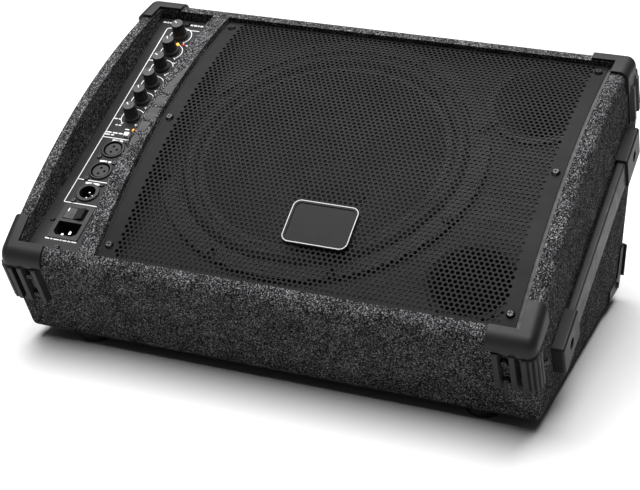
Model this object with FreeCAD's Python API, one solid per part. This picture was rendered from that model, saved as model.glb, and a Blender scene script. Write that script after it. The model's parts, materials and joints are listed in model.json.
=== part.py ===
import FreeCAD, Part
import math
import os
from FreeCAD import Vector

# Stage monitor wedge. All lengths are in millimetres.
#
# Nearly every piece is modelled in the slope frame: X to the right, Y up the sloping
# face, Z straight out of that face, with Z = 0 at the crown of the curved grille and
# X = 0, Y = 0 in its middle.  place() then tips the assembly onto its feet.

# ---------------------------------------------------------------- cabinet form
WIDTH = 505.0                 # outside width over the carpet
FLOOR_TILT = 25.2             # angle between the slope frame and the floor, degrees
FACE_RADIUS = 652.5           # curvature of the sloping face over the carpet
GRILLE_RADIUS = 647.5         # curvature of the outside of the grille
FRONT_Y = -180.0              # plane of the front face
FRONT_FOOT_Z = -123.0         # lower end of the front face
BOTTOM_DEPTH = 292.8          # front to rear along the bottom
REAR_HEIGHT = 174.5           # height of the rear face, along it
REAR_ANGLE = 55.65            # direction of the rear face in the slope frame, degrees
TOP_ANGLE = 93.75             # direction of the top face in the slope frame, degrees
FRONT_EDGE_R = 12.0           # rounding of the edge between sloping face and front
LONG_EDGE_R = 9.0             # rounding of the other long edges
SIDE_EDGE_R = 6.0             # rounding round the two side panels

BOARD = 12.0                  # plywood thickness of the case
CARPET = 1.2                  # carpet thickness
BAFFLE = 15.0                 # thickness of the baffle
BAFFLE_Z = -30.0              # front of the baffle
DIVIDER_X = -176.6            # left face of the divider board
BAY_X = -162.6                # right face of the divider board
PANEL_Z = -27.0               # front of the control panel
PANEL_SHEET = 1.5
PANEL_MID_X = -207.3

# ---------------------------------------------------------------- loudspeakers
WOOFER_X = 0.0
WOOFER_Y = 5.0
WOOFER_RIM_R = 156.0
WOOFER_HOLE_R = 143.0
WOOFER_BOLT_R = 151.0
WOOFER_SCREWS = 8
COIL_R = 32.0
HORN_X = 182.0
HORN_Y = 110.0
HORN_MOUTH_R = 46.0
HORN_RIM_R = 52.5
PORT_X = 181.0
PORT_Y = -114.0
PORT_R = 35.0
PORT_LENGTH = 75.0

# ---------------------------------------------------------------- control panel
KNOB_X = -207.8
KNOB_TOP_Y = 139.5
KNOB_PITCH = 24.3
KNOB_COUNT = 6
KNOB_HEIGHT = 17.3
KNOB_SKIRT_R = 8.0
KNOB_TOP_R = 5.9
POINTER_ANGLES = [48.0, 28.0, 61.0, -11.0, 27.0, 45.0]
LAMP_PLACES = [(-205.3, 126.6), (-198.9, 126.6), (-199.1, 1.0)]
LAMP_R = 1.5
BUTTON_X = -203.0
BUTTON_Y = -6.5
BUTTON_SIDE = 5.0
XLR_X = -208.2
XLR_TOP_Y = -27.2
XLR_PITCH = 29.4
XLR_SHELL_R = 11.4
XLR_FEMALE_R = 9.6
XLR_INSERT_R = 7.9
XLR_MALE_R = 8.0
XLR_SCREW_DX = 9.5
XLR_SCREW_DY = 12.0
INLET_Y = -124.0
INLET_SCREW_PITCH = 40.0
INLET_MOUTH_W = 24.4
INLET_MOUTH_H = 16.6
ROCKER_TILT = 8.0

# ---------------------------------------------------------------- grille
GRILLE_SHEET = 1.3
GRILLE_LEFT = -159.5
GRILLE_RIGHT = 233.0
GRILLE_SCREW_LEFT = -152.5
GRILLE_SCREW_RIGHT = 226.0
GRILLE_SCREW_ARC = 13.4       # angle of the end screws round the grille's axis, degrees
GRILLE_HALF_Y = 163.2
BADGE_X = 37.0
BADGE_Y = -97.0
BADGE_WIDTH = 64.0
BADGE_HEIGHT = 46.0

# ---------------------------------------------------------------- outside fittings
PROTECTOR_SKIN = 1.6          # thickness of the protectors' skirts
CAP_PROUD = 3.2               # thickness of the protectors' smooth caps
RIB_PROUD = 5.6               # height of the ribs over the carpet
RIB_BASE = 10.5
RIB_CREST = 4.5
CAP_EDGE_X = 238.8            # inner edge of the caps' arms
HANDLE_MID_Y = 5.0
HANDLE_MID_Z = -93.0
HANDLE_LENGTH = 279.0
HANDLE_CAP_LENGTH = 47.0
HANDLE_CAP_WIDTH = 34.0
HANDLE_CAP_PROUD = 12.0
HANDLE_SCREW_INSET = 23.0
STRAP_WIDTH = 29.0
STRAP_THICK = 8.0
STRAP_GAP = 1.2
STRAP_FLEX = 26.0
FOOT_R = 18.5
FOOT_HEIGHT = 11.0
FOOT_X = 195.0
FOOT_FRONT_SETBACK = 24.0
FOOT_REAR_SETBACK = 66.0

HALF = WIDTH / 2.0
LIFT = 300.0                  # larger than the cabinet is deep, for cutting bodies


# ================================================================ small helpers
def box(x0, x1, y0, y1, z0, z1):
    return Part.makeBox(x1 - x0, y1 - y0, z1 - z0, Vector(x0, y0, z0))


def rod(x, y, z0, z1, radius):
    return Part.makeCylinder(radius, z1 - z0, Vector(x, y, z0), Vector(0, 0, 1))


def ring(x, y, z0, z1, inner, outer):
    return rod(x, y, z0, z1, outer).cut(rod(x, y, z0 - 1, z1 + 1, inner))


def cone(x, y, z0, z1, r0, r1):
    return Part.makeCone(r0, r1, z1 - z0, Vector(x, y, z0), Vector(0, 0, 1))


def prism_x(points, x0, x1):
    """Outline of (y, z) points carried from x0 to x1."""
    corners = [Vector(x0, y, z) for y, z in points]
    face = Part.Face(Part.makePolygon(corners + corners[:1]))
    return face.extrude(Vector(x1 - x0, 0, 0))


def prism_y(points, y0, y1):
    """Outline of (x, z) points carried from y0 to y1."""
    corners = [Vector(x, y0, z) for x, z in points]
    face = Part.Face(Part.makePolygon(corners + corners[:1]))
    return face.extrude(Vector(0, y1 - y0, 0))


def prism_z(points, z0, z1):
    """Outline of (x, y) points carried from z0 to z1."""
    corners = [Vector(x, y, z0) for x, y in points]
    face = Part.Face(Part.makePolygon(corners + corners[:1]))
    return face.extrude(Vector(0, 0, z1 - z0))


def turned(points, x, y):
    """Outline of (radius, z) points spun about the Z line through x, y."""
    corners = [Vector(x + r, y, z) for r, z in points]
    face = Part.Face(Part.makePolygon(corners + corners[:1]))
    return face.revolve(Vector(x, y, 0), Vector(0, 0, 1), 360)


def joined(shapes):
    first = shapes[0]
    if len(shapes) == 1:
        return first
    return first.fuse(shapes[1:]).removeSplitter()


def group(shapes):
    """Separate solids that share one node."""
    solids = []
    for shape in shapes:
        solids.extend(shape.Solids)
    return Part.makeCompound(solids)


def mirrored(shape):
    return shape.mirror(Vector(0, 0, 0), Vector(1, 0, 0))


def rounded_plate(x, y, z0, z1, width, height, radius):
    plate = box(x - width / 2, x + width / 2, y - height / 2, y + height / 2, z0, z1)
    upright = [e for e in plate.Edges if abs(e.Vertexes[0].Z - e.Vertexes[-1].Z) > 0.1]
    return plate.makeFillet(radius, upright)


def face_slab(outer_radius, inner_radius, x0, x1):
    """Part of a thick curved sheet that follows the sloping face."""
    axis = Vector(1, 0, 0)
    start = Vector(x0, 0, -GRILLE_RADIUS)
    outer = Part.makeCylinder(outer_radius, x1 - x0, start, axis)
    return outer.cut(Part.makeCylinder(inner_radius, x1 - x0, start, axis))


def pan_screw(head_r, head_h, shank_r, length):
    """Round-headed screw, head upwards, with a cross recess; Z = 0 is under the head."""
    head = cone(0, 0, 0, head_h, head_r, head_r * 0.62)
    shank = rod(0, 0, -length, 0, shank_r)
    point = cone(0, 0, -length - shank_r * 2, -length, 0.2, shank_r)
    slot = head_r * 0.22
    reach = head_r * 0.55
    cross = box(-reach, reach, -slot / 2, slot / 2, head_h * 0.45, head_h + 1)
    cross = cross.fuse(box(-slot / 2, slot / 2, -reach, reach, head_h * 0.45, head_h + 1))
    return joined([head, shank, point]).cut(cross)


def aimed(shape, place, direction):
    """Moves a piece built along +Z so that it points along direction at place."""
    moved = shape.copy()
    turn = FreeCAD.Rotation(Vector(0, 0, 1), Vector(*direction))
    moved.Placement = FreeCAD.Placement(Vector(*place), turn)
    return moved


# ================================================================ cabinet outline
def polar(point, length, degrees):
    angle = math.radians(degrees)
    return (point[0] + length * math.cos(angle), point[1] + length * math.sin(angle))


def meet_arc(point, degrees, radius):
    """Where a line through point meets the arc of the sloping face."""
    angle = math.radians(degrees)
    dy, dz = math.cos(angle), math.sin(angle)
    py, pz = point[0], point[1] + GRILLE_RADIUS
    half_b = py * dy + pz * dz
    reach = -half_b + math.sqrt(half_b ** 2 - (py ** 2 + pz ** 2 - radius ** 2))
    return (point[0] + reach * dy, point[1] + reach * dz)


FOOT_CORNER = (FRONT_Y, FRONT_FOOT_Z)
HEEL_CORNER = polar(FOOT_CORNER, BOTTOM_DEPTH, -FLOOR_TILT)
SHOULDER_CORNER = polar(HEEL_CORNER, REAR_HEIGHT, REAR_ANGLE)
LINES = [
    (FOOT_CORNER, 270.0),
    (FOOT_CORNER, -FLOOR_TILT),
    (HEEL_CORNER, REAR_ANGLE),
    (SHOULDER_CORNER, TOP_ANGLE),
]


def shifted_line(index, inset):
    point, degrees = LINES[index]
    return polar(point, inset, degrees + 90.0), degrees


def crossing(first, second):
    (p, a), (q, b) = first, second
    ay, az = math.cos(math.radians(a)), math.sin(math.radians(a))
    by, bz = math.cos(math.radians(b)), math.sin(math.radians(b))
    span = ((q[0] - p[0]) * bz - (q[1] - p[1]) * by) / (ay * bz - az * by)
    return (p[0] + span * ay, p[1] + span * az)


def outline(inset):
    """Corners A to E of the cabinet's side, moved inwards by inset; A to E is the arc."""
    sides = [shifted_line(i, inset) for i in range(4)]
    radius = FACE_RADIUS - inset
    nose = meet_arc(sides[0][0], 90.0, radius)
    foot = crossing(sides[0], sides[1])
    heel = crossing(sides[1], sides[2])
    shoulder = crossing(sides[2], sides[3])
    top = meet_arc(sides[3][0], TOP_ANGLE, radius)
    return [nose, foot, heel, shoulder, top]


def sharp_form(inset, x0, x1):
    corners = [Vector(x0, y, z) for y, z in outline(inset)]
    crown = Vector(x0, 0, FACE_RADIUS - inset - GRILLE_RADIUS)
    edges = [Part.LineSegment(a, b).toShape() for a, b in zip(corners, corners[1:])]
    edges.append(Part.Arc(corners[-1], crown, corners[0]).toShape())
    return Part.Face(Part.Wire(edges)).extrude(Vector(x1 - x0, 0, 0))


def cabinet_form(inset):
    """The whole cabinet as one rounded solid, moved inwards (or outwards) by inset."""
    half = HALF - inset
    form = sharp_form(inset, -half, half)
    nose = outline(inset)[0]
    long_edges = [e for e in form.Edges if abs(e.Vertexes[0].X - e.Vertexes[-1].X) > 1.0]
    front = [e for e in long_edges
             if abs(e.Vertexes[0].Y - nose[0]) < 0.1 and e.Vertexes[0].Z > -60]
    other = [e for e in long_edges if not any(e.isSame(f) for f in front)]
    form = form.makeFillet(FRONT_EDGE_R - inset, front)
    others = []
    for edge in form.Edges:
        for old in other:
            same_place = edge.CenterOfMass.distanceToPoint(old.CenterOfMass) < 0.5
            if same_place and abs(edge.Length - old.Length) < 1.0:
                others.append(edge)
    form = form.makeFillet(LONG_EDGE_R - inset, others)
    rims = [e for e in form.Edges if abs(e.BoundBox.XMin - e.BoundBox.XMax) < 0.01]
    return form.makeFillet(SIDE_EDGE_R - inset, rims)


CARPET_FORM = cabinet_form(0.0)
WOOD_FORM = cabinet_form(CARPET)
WOOD_OUT = outline(CARPET)
WOOD_IN = outline(CARPET + BOARD)
INNER_HALF = HALF - CARPET - BOARD


def openings(margin):
    """Space of the control recess and of the grille bay above the baffle."""
    inner = outline(CARPET + BOARD + margin)
    low, high = inner[0][0], inner[4][0]
    top_low = crossing(shifted_line(3, CARPET + BOARD + margin), ((0.0, BAFFLE_Z), 0.0))
    side = [(low, BAFFLE_Z), (top_low[0], BAFFLE_Z), (high, 60.0), (low, 60.0)]
    recess = prism_x(side, -INNER_HALF + margin, DIVIDER_X - margin)
    bay = prism_x(side, BAY_X + margin, INNER_HALF - margin)
    return recess.fuse(bay)


# ================================================================ case and carpet
def side_panels():
    left = WOOD_FORM.common(box(-HALF, -INNER_HALF, -LIFT, LIFT, -LIFT, LIFT))
    right = WOOD_FORM.common(box(INNER_HALF, HALF, -LIFT, LIFT, -LIFT, LIFT))
    return left, right


def case_board(index):
    """Board along one side of the outline, mitred at its ends."""
    quad = [WOOD_OUT[index], WOOD_OUT[index + 1], WOOD_IN[index + 1], WOOD_IN[index]]
    return prism_x(quad, -INNER_HALF, INNER_HALF).common(WOOD_FORM)


def baffle_board():
    front = crossing(shifted_line(0, CARPET + BOARD), ((0.0, BAFFLE_Z), 0.0))[0]
    back_high = crossing(shifted_line(3, CARPET + BOARD), ((0.0, BAFFLE_Z - BAFFLE), 0.0))[0]
    back_low = crossing(shifted_line(3, CARPET + BOARD), ((0.0, BAFFLE_Z), 0.0))[0]
    rear = BAFFLE_Z - BAFFLE
    side = [(front, rear), (back_high, rear), (back_low, BAFFLE_Z), (front, BAFFLE_Z)]
    board = prism_x(side, BAY_X, INNER_HALF)
    holes = [
        rod(WOOFER_X, WOOFER_Y, rear - 5, 0, WOOFER_HOLE_R),
        rod(HORN_X, HORN_Y, rear - 5, 0, HORN_MOUTH_R + 2.0),
        rod(PORT_X, PORT_Y, rear - 5, 0, PORT_R + 3.5),
    ]
    for x, y in driver_screw_places():
        holes.append(rod(x, y, rear - 5, 0, 1.9))
    return board.cut(holes)


def divider_board():
    inner = sharp_form(CARPET + BOARD, DIVIDER_X, BAY_X)
    raised = sharp_form(CARPET, DIVIDER_X, BAY_X)
    low, high = WOOD_IN[0][0], WOOD_IN[4][0]
    neck = raised.common(box(-LIFT, LIFT, low, high, WOOD_IN[0][1] - 20, LIFT))
    return joined([inner, neck])


def battens():
    """Curved rails under the grille's long edges and blocks under the panel's ends."""
    low = BAFFLE_Z + 6.6
    under = GRILLE_RADIUS - GRILLE_SHEET
    rail = Part.makeCylinder(under, WIDTH, Vector(-HALF, 0, -GRILLE_RADIUS), Vector(1, 0, 0))
    left_start = BAY_X + CARPET + 0.3
    left = box(left_start, left_start + 14.5, -162.5, 161.5, low, 20).common(rail)
    right_end = INNER_HALF - CARPET - 0.3
    right = box(right_end - 14.5, right_end, -162.5, 161.5, low, 20).common(rail)
    holes = [grille_screw_hole(p, 1.7, 18.0) for p in grille_screw_places()]
    block_z = PANEL_Z - PANEL_SHEET
    lower = box(-INNER_HALF, DIVIDER_X, WOOD_IN[0][0], -150.0, block_z - 16, block_z - 1.8)
    top_y = crossing(shifted_line(3, CARPET + BOARD), ((0.0, block_z), 0.0))[0]
    upper = box(-INNER_HALF, DIVIDER_X, 151.5, top_y, block_z - 16, block_z - 1.8)
    for y, block in ((-156.5, lower), (157.0, upper)):
        holes.append(rod(PANEL_MID_X, y, block_z - 14.5, 0, 1.55))
    return group([shape.cut(holes) for shape in (left, right, lower, upper)])


def carpet_covering():
    skin = CARPET_FORM.cut(WOOD_FORM)
    lining = WOOD_FORM.common(openings(0.0))
    fabric = skin.fuse(lining).cut(openings(CARPET))
    seam = box(222.0, 226.0, FRONT_Y - 5, FRONT_Y + CARPET + 0.01, -103.0, -72.0)
    return fabric.cut(seam)


def damping_pads():
    """Two soft wadding pads, on the inside of the rear and bottom boards."""
    thick = 14.0
    clear = CARPET + BOARD + 0.3
    x0, x1 = BAY_X + 12.0, 125.0
    rear = [shifted_line(2, clear), shifted_line(2, clear + thick)]
    r0 = polar(rear[0][0], 24.0, REAR_ANGLE)
    r1 = polar(rear[0][0], 128.0, REAR_ANGLE)
    r2 = polar(rear[1][0], 128.0, REAR_ANGLE)
    r3 = polar(rear[1][0], 24.0, REAR_ANGLE)
    back = prism_x([r0, r1, r2, r3], x0, x1)
    low = [shifted_line(1, clear), shifted_line(1, clear + thick)]
    b0 = polar(low[0][0], 205.0, -FLOOR_TILT)
    b1 = polar(low[0][0], 262.0, -FLOOR_TILT)
    b2 = polar(low[1][0], 262.0, -FLOOR_TILT)
    b3 = polar(low[1][0], 205.0, -FLOOR_TILT)
    bottom = prism_x([b0, b1, b2, b3], x0, x1)
    return group([back, bottom])


# ================================================================ corner protectors
SKIN_FORM = cabinet_form(-PROTECTOR_SKIN)
CAP_FORM = cabinet_form(-CAP_PROUD)
RIB_FORM = cabinet_form(-RIB_PROUD)
FAR = 300.0                   # beyond every outside face, for the protectors' boxes


def front_rib(x, z0, z1):
    """Trapezoid rib standing on the front face."""
    base, crest = RIB_BASE / 2, RIB_CREST / 2
    y0, y1 = FRONT_Y + 1.0, FRONT_Y - RIB_PROUD
    points = [(x - base, y0), (x + base, y0), (x + crest, y1), (x - crest, y1)]
    return prism_z(points, z0, z1)


def side_rib(y, z0, z1):
    """Trapezoid rib standing on the right side."""
    base, crest = RIB_BASE / 2, RIB_CREST / 2
    x0, x1 = HALF - 1.0, HALF + RIB_PROUD
    points = [(x0, y - base), (x0, y + base), (x1, y + crest), (x1, y - crest)]
    return prism_z(points, z0, z1)


def grooved_corner(side, z0, z1):
    """Ribbed column round the upright corner; side is -1 at the front and +1 at the top."""
    wall = FRONT_Y if side < 0 else outline(0.0)[4][0]
    near, far = sorted((wall - side * 9.0, wall + side * 40.0))
    column = RIB_FORM.common(box(243.0, FAR, near, far, z0, z1))
    centre_x, centre_y = HALF - SIDE_EDGE_R, wall - side * SIDE_EDGE_R
    radius = SIDE_EDGE_R + RIB_PROUD
    grooves = []
    for degrees in (12.0, 36.0, 60.0, 84.0):
        angle = math.radians(degrees)
        out = (math.sin(angle), side * math.cos(angle))
        along = (math.cos(angle), -side * math.sin(angle))
        tip = (centre_x + out[0] * (radius - 1.8), centre_y + out[1] * (radius - 1.8))
        wide = (centre_x + out[0] * (radius + 1.2), centre_y + out[1] * (radius + 1.2))
        points = [tip, (wide[0] + along[0] * 2.4, wide[1] + along[1] * 2.4),
                  (wide[0] - along[0] * 2.4, wide[1] - along[1] * 2.4)]
        grooves.append(prism_z(points, z0 - 1, z1 + 1))
    return column.cut(grooves)


def above_cap_edge(cap_z):
    """Everything above the caps' lower edge, which falls by one in ten towards the side."""
    return prism_y([(200.0, cap_z + 2.0), (FAR, cap_z - 8.0), (FAR, 60.0), (200.0, 60.0)],
                   -FAR, FAR)


def smooth_cap(boxes, cap_z):
    """Outer shell of a protector with its lower outside edge rounded under."""
    cap = CAP_FORM.common(joined(boxes)).common(above_cap_edge(cap_z))
    lower = []
    for edge in cap.Edges:
        middle = edge.valueAt((edge.FirstParameter + edge.LastParameter) / 2)
        level = abs(middle.z - (cap_z + 2.0 - (middle.x - 200.0) / 10.0)) < 0.01
        if level and Part.Vertex(middle).distToShape(CARPET_FORM)[0] > CAP_PROUD - 0.2:
            lower.append(edge)
    return cap.makeFillet(1.6, lower)


def screw_clearance(which):
    """Shank holes through a protector and pockets for the heads through its ribs."""
    cuts = []
    for place, axis in protector_screw_places(which):
        cuts.append(aimed(rod(0, 0, -10, 10, 2.2), place, axis))
        cuts.append(aimed(rod(0, 0, 0, 12, 4.4), place, axis))
    return cuts


def front_protector():
    """Smooth cap over the front right corner, and a skirt with flat-topped ribs."""
    wall, cap_z, skirt_z = FRONT_Y, -31.0, -75.0
    arm, rib_top = wall + 40.0, cap_z - 0.5
    cap = smooth_cap([
        box(212.0, FAR, wall - 20, wall + 13.4, -60.0, 30.0),
        box(CAP_EDGE_X, FAR, wall - 20, arm, -60.0, 30.0),
    ], cap_z)
    skirts = [
        box(214.5, FAR, wall - 20, wall, skirt_z, -20.0),
        box(HALF, FAR, wall - 20, arm, skirt_z, -20.0),
        box(HALF - 8.0, FAR, wall - 20, wall + 8.0, skirt_z, -20.0),
    ]
    skirt = SKIN_FORM.common(joined(skirts))
    ribs = [front_rib(x, skirt_z, rib_top) for x in (220.3, 235.2)]
    ribs += [side_rib(y, skirt_z, rib_top - 3.0) for y in (-146.0, -160.5)]
    ribs.append(grooved_corner(-1, skirt_z, rib_top - 1.6))
    body = joined([cap, skirt] + ribs).cut(CARPET_FORM)
    return body.cut(screw_clearance("front"))


def top_protector():
    """The same kind of cap and skirt over the upper right corner."""
    wall, cap_z, skirt_z = outline(0.0)[4][0], -34.0, -80.0
    arm, rib_top = wall - 33.0, cap_z - 0.5
    cap = smooth_cap([
        box(215.5, FAR, wall - 13.0, FAR, -60.0, 30.0),
        box(CAP_EDGE_X, FAR, arm, FAR, -60.0, 30.0),
    ], cap_z)
    skirts = [
        box(217.0, FAR, wall + 1.0, FAR, skirt_z, -20.0),
        box(HALF, FAR, wall - 27.0, FAR, skirt_z, -20.0),
        box(HALF - 8.0, FAR, wall - 8.0, FAR, skirt_z, -20.0),
    ]
    skirt = SKIN_FORM.common(joined(skirts))
    ribs = [side_rib(y, skirt_z, rib_top - 3.0) for y in (wall - 20.5, wall - 6.0)]
    strips = [box(x - 3.5, x + 3.5, wall + 1.0, FAR, skirt_z, rib_top) for x in (222.0, 237.0)]
    ribs += [RIB_FORM.common(strip) for strip in strips]
    ribs.append(RIB_FORM.common(box(246.0, FAR, wall + 3.0, FAR, skirt_z, rib_top - 1.6)))
    body = joined([cap, skirt] + ribs).cut(CARPET_FORM)
    return body.cut(screw_clearance("top"))


def rear_protector():
    """Cap round the lower rear corner."""
    heel = outline(0.0)[2]
    reach = 46.0
    fore = polar(heel, reach, 180.0 - FLOOR_TILT)
    aft = polar(heel, reach, REAR_ANGLE)
    far = 30.0
    outer = polar(heel, far, (REAR_ANGLE - FLOOR_TILT) / 2.0 - 90.0)
    low = polar(fore, far, -FLOOR_TILT - 90.0)
    back = polar(aft, far, REAR_ANGLE - 90.0)
    inward = 16.0
    inner_fore = polar(fore, inward, 90.0 - FLOOR_TILT)
    inner_aft = polar(aft, inward, REAR_ANGLE + 90.0)
    inner = polar(heel, inward * 1.5, (REAR_ANGLE - FLOOR_TILT) / 2.0 + 90.0)
    wrap = prism_x([fore, low, outer, back, aft, inner_aft, inner, inner_fore], 214.5, 300.0)
    body = SKIN_FORM.common(wrap)
    ribs = RIB_FORM.common(prism_x([aft, back, polar(heel, 40.0, REAR_ANGLE - 55.0),
                                    polar(heel, 14.0, REAR_ANGLE)], 214.5, 300.0))
    ribs = ribs.common(joined([box(x, x + w, -LIFT, LIFT, -LIFT, LIFT)
                               for x, w in ((220.0, 8.0), (234.0, 8.0), (247.0, 20.0))]))
    body = joined([body, ribs]).cut(CARPET_FORM)
    return body.cut(screw_clearance("rear"))


def protector_screw_places(which):
    """Screws of the right-hand protectors: (place under the head, outward axis)."""
    if which == "front":
        y = FRONT_Y - PROTECTOR_SKIN
        return [((227.8, y, -42.5), (0, -1, 0)), ((227.8, y, -67.5), (0, -1, 0)),
                ((HALF + PROTECTOR_SKIN, -153.2, -68.0), (1, 0, 0))]
    if which == "top":
        point, degrees = shifted_line(3, -PROTECTOR_SKIN)
        normal = polar((0.0, 0.0), 1.0, degrees - 90.0)
        places = []
        for z in (-45.0, -71.0):
            y = crossing((point, degrees), ((0.0, z), 0.0))[0]
            places.append(((229.5, y, z), (0, normal[0], normal[1])))
        side_y = outline(0.0)[4][0] - 13.2
        places.append(((HALF + PROTECTOR_SKIN, side_y, -60.0), (1, 0, 0)))
        return places
    point, degrees = shifted_line(2, -PROTECTOR_SKIN)
    normal = polar((0.0, 0.0), 1.0, degrees - 90.0)
    y, z = polar(point, 30.0, degrees)
    side_y, side_z = polar(outline(0.0)[2], 24.0, (REAR_ANGLE - FLOOR_TILT) / 2.0 + 90.0)
    return [((231.0, y, z), (0, normal[0], normal[1])),
            ((HALF + PROTECTOR_SKIN, side_y - 6.0, side_z - 4.0), (1, 0, 0))]


# ================================================================ handle and feet
def handle_span():
    low = HANDLE_MID_Y - HANDLE_LENGTH / 2
    return low, low + HANDLE_LENGTH


def handle_cap():
    """Moulded end cap at the upper end of the strap, open towards its middle."""
    high = handle_span()[1]
    low = high - HANDLE_CAP_LENGTH
    half = HANDLE_CAP_WIDTH / 2
    z0, z1 = HANDLE_MID_Z - half, HANDLE_MID_Z + half
    block = box(HALF, HALF + HANDLE_CAP_PROUD, low, high, z0, z1)
    ends = [e for e in block.Edges if e.BoundBox.YLength < 0.1 and abs(e.CenterOfMass.y - high) < 0.1
            and e.BoundBox.XLength > 1]
    block = block.makeFillet(3.0, ends)
    nose = [e for e in block.Edges if abs(e.BoundBox.XMin - HALF - HANDLE_CAP_PROUD) < 0.01
            and abs(e.CenterOfMass.y - low) > 0.1]
    block = block.makeFillet(2.2, nose)
    mouth = box(HALF - 1, HALF + STRAP_GAP + STRAP_THICK + 0.5, low - 1, low + 17.0,
                HANDLE_MID_Z - STRAP_WIDTH / 2 - 0.5, HANDLE_MID_Z + STRAP_WIDTH / 2 + 0.5)
    screw_y = high - HANDLE_SCREW_INSET
    well = Part.makeCylinder(5.6, 20, Vector(HALF + 6.0, screw_y, HANDLE_MID_Z), Vector(1, 0, 0))
    hole = Part.makeCylinder(2.6, 40, Vector(HALF - 10.0, screw_y, HANDLE_MID_Z), Vector(1, 0, 0))
    return block.cut([mouth, well, hole])


def handle_caps():
    upper = handle_cap()
    lower = upper.mirror(Vector(0, HANDLE_MID_Y, 0), Vector(0, 1, 0))
    return group([upper, lower])


def handle_grip():
    low, high = handle_span()
    y0 = low + HANDLE_CAP_LENGTH - 15.0 + STRAP_FLEX
    y1 = high - HANDLE_CAP_LENGTH + 15.0 - STRAP_FLEX
    x0 = HALF + STRAP_GAP
    half = STRAP_WIDTH / 2
    grip = box(x0, x0 + STRAP_THICK, y0, y1, HANDLE_MID_Z - half, HANDLE_MID_Z + half)
    return grip.makeFillet(2.2, [e for e in grip.Edges if e.BoundBox.YLength > 5])


def handle_strap_ends():
    low, high = handle_span()
    x0 = HALF + STRAP_GAP
    half = STRAP_WIDTH / 2
    ends = []
    for start in (low + HANDLE_CAP_LENGTH - 15.0, high - HANDLE_CAP_LENGTH + 15.0 - STRAP_FLEX):
        end = box(x0, x0 + STRAP_THICK, start, start + STRAP_FLEX,
                  HANDLE_MID_Z - half, HANDLE_MID_Z + half)
        ends.append(end.makeFillet(2.2, [e for e in end.Edges if e.BoundBox.YLength > 5]))
    return group(ends)


def foot_places():
    """Centres of the feet on the bottom face and the direction they point."""
    point, degrees = shifted_line(1, 0.0)
    normal = polar((0.0, 0.0), 1.0, degrees - 90.0)
    places = []
    for along in (FOOT_FRONT_SETBACK, BOTTOM_DEPTH - FOOT_REAR_SETBACK):
        y, z = polar(point, along, degrees)
        for x in (-FOOT_X, FOOT_X):
            places.append(((x, y, z), (0, normal[0], normal[1])))
    return places


def rubber_feet():
    pad = cone(0, 0, 0, FOOT_HEIGHT, FOOT_R, FOOT_R - 2.5)
    rim = [e for e in pad.Edges if abs(e.BoundBox.ZMin - FOOT_HEIGHT) < 0.01 and e.Length > 20]
    pad = pad.makeFillet(1.5, rim)
    well = rod(0, 0, 4.0, FOOT_HEIGHT + 1, 6.5)
    hole = rod(0, 0, -1, FOOT_HEIGHT, 2.4)
    pad = pad.cut([well, hole])
    return group([aimed(pad, place, axis) for place, axis in foot_places()])


def cabinet_screws():
    """Wood screws of the protectors, the handle caps and the feet."""
    screw = pan_screw(4.0, 2.4, 2.0, 9.0)
    screws = []
    for which in ("front", "top", "rear"):
        for place, axis in protector_screw_places(which):
            right = aimed(screw, place, axis)
            screws.append(right)
            screws.append(mirrored(right))
    span = handle_span()
    for y in (span[0] + HANDLE_SCREW_INSET, span[1] - HANDLE_SCREW_INSET):
        screws.append(aimed(screw, (HALF + 6.0, y, HANDLE_MID_Z), (1, 0, 0)))
    for place, axis in foot_places():
        seat = [place[i] + axis[i] * 4.0 for i in range(3)]
        screws.append(aimed(screw, seat, axis))
    return group(screws)


# ================================================================ grille and badge
def grille_screw_places():
    """(x, angle round the grille's axis) of the six grille screws."""
    places = []
    for x in (GRILLE_SCREW_LEFT, GRILLE_SCREW_RIGHT):
        for angle in (-GRILLE_SCREW_ARC, 0.0, GRILLE_SCREW_ARC):
            places.append((x, angle))
    return places


def on_grille(place, radius):
    x, degrees = place
    angle = math.radians(degrees)
    return Vector(x, radius * math.sin(angle), radius * math.cos(angle) - GRILLE_RADIUS)


def grille_screw_hole(place, radius, depth):
    outward = on_grille(place, GRILLE_RADIUS) - on_grille(place, GRILLE_RADIUS - 1)
    return Part.makeCylinder(radius, depth + 10, on_grille(place, GRILLE_RADIUS - depth), outward)


def grille():
    sheet = face_slab(GRILLE_RADIUS, GRILLE_RADIUS - GRILLE_SHEET, GRILLE_LEFT, GRILLE_RIGHT)
    sheet = sheet.common(box(-HALF, HALF, -GRILLE_HALF_Y, GRILLE_HALF_Y, -60, 20))
    return sheet.cut([grille_screw_hole(p, 2.3, 10.0) for p in grille_screw_places()])


def grille_screws():
    screw = pan_screw(4.2, 2.6, 1.6, 9.0)
    screws = []
    for place in grille_screw_places():
        seat = on_grille(place, GRILLE_RADIUS)
        outward = seat - on_grille(place, GRILLE_RADIUS - 1)
        screws.append(aimed(screw, tuple(seat), tuple(outward)))
    return group(screws)


def badge():
    plate = rounded_plate(BADGE_X, BADGE_Y, -60, 20, BADGE_WIDTH, BADGE_HEIGHT, 8.0)
    field = rounded_plate(BADGE_X, BADGE_Y, -60, 20, BADGE_WIDTH - 7, BADGE_HEIGHT - 7, 5.0)
    body = face_slab(GRILLE_RADIUS + 3.0, GRILLE_RADIUS + 0.05, -HALF, HALF).common(plate)
    sunk = face_slab(GRILLE_RADIUS + 5.0, GRILLE_RADIUS + 2.2, -HALF, HALF).common(field)
    return body.cut(sunk)


# ================================================================ woofer
def woofer(points):
    return turned(points, WOOFER_X, WOOFER_Y)


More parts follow.
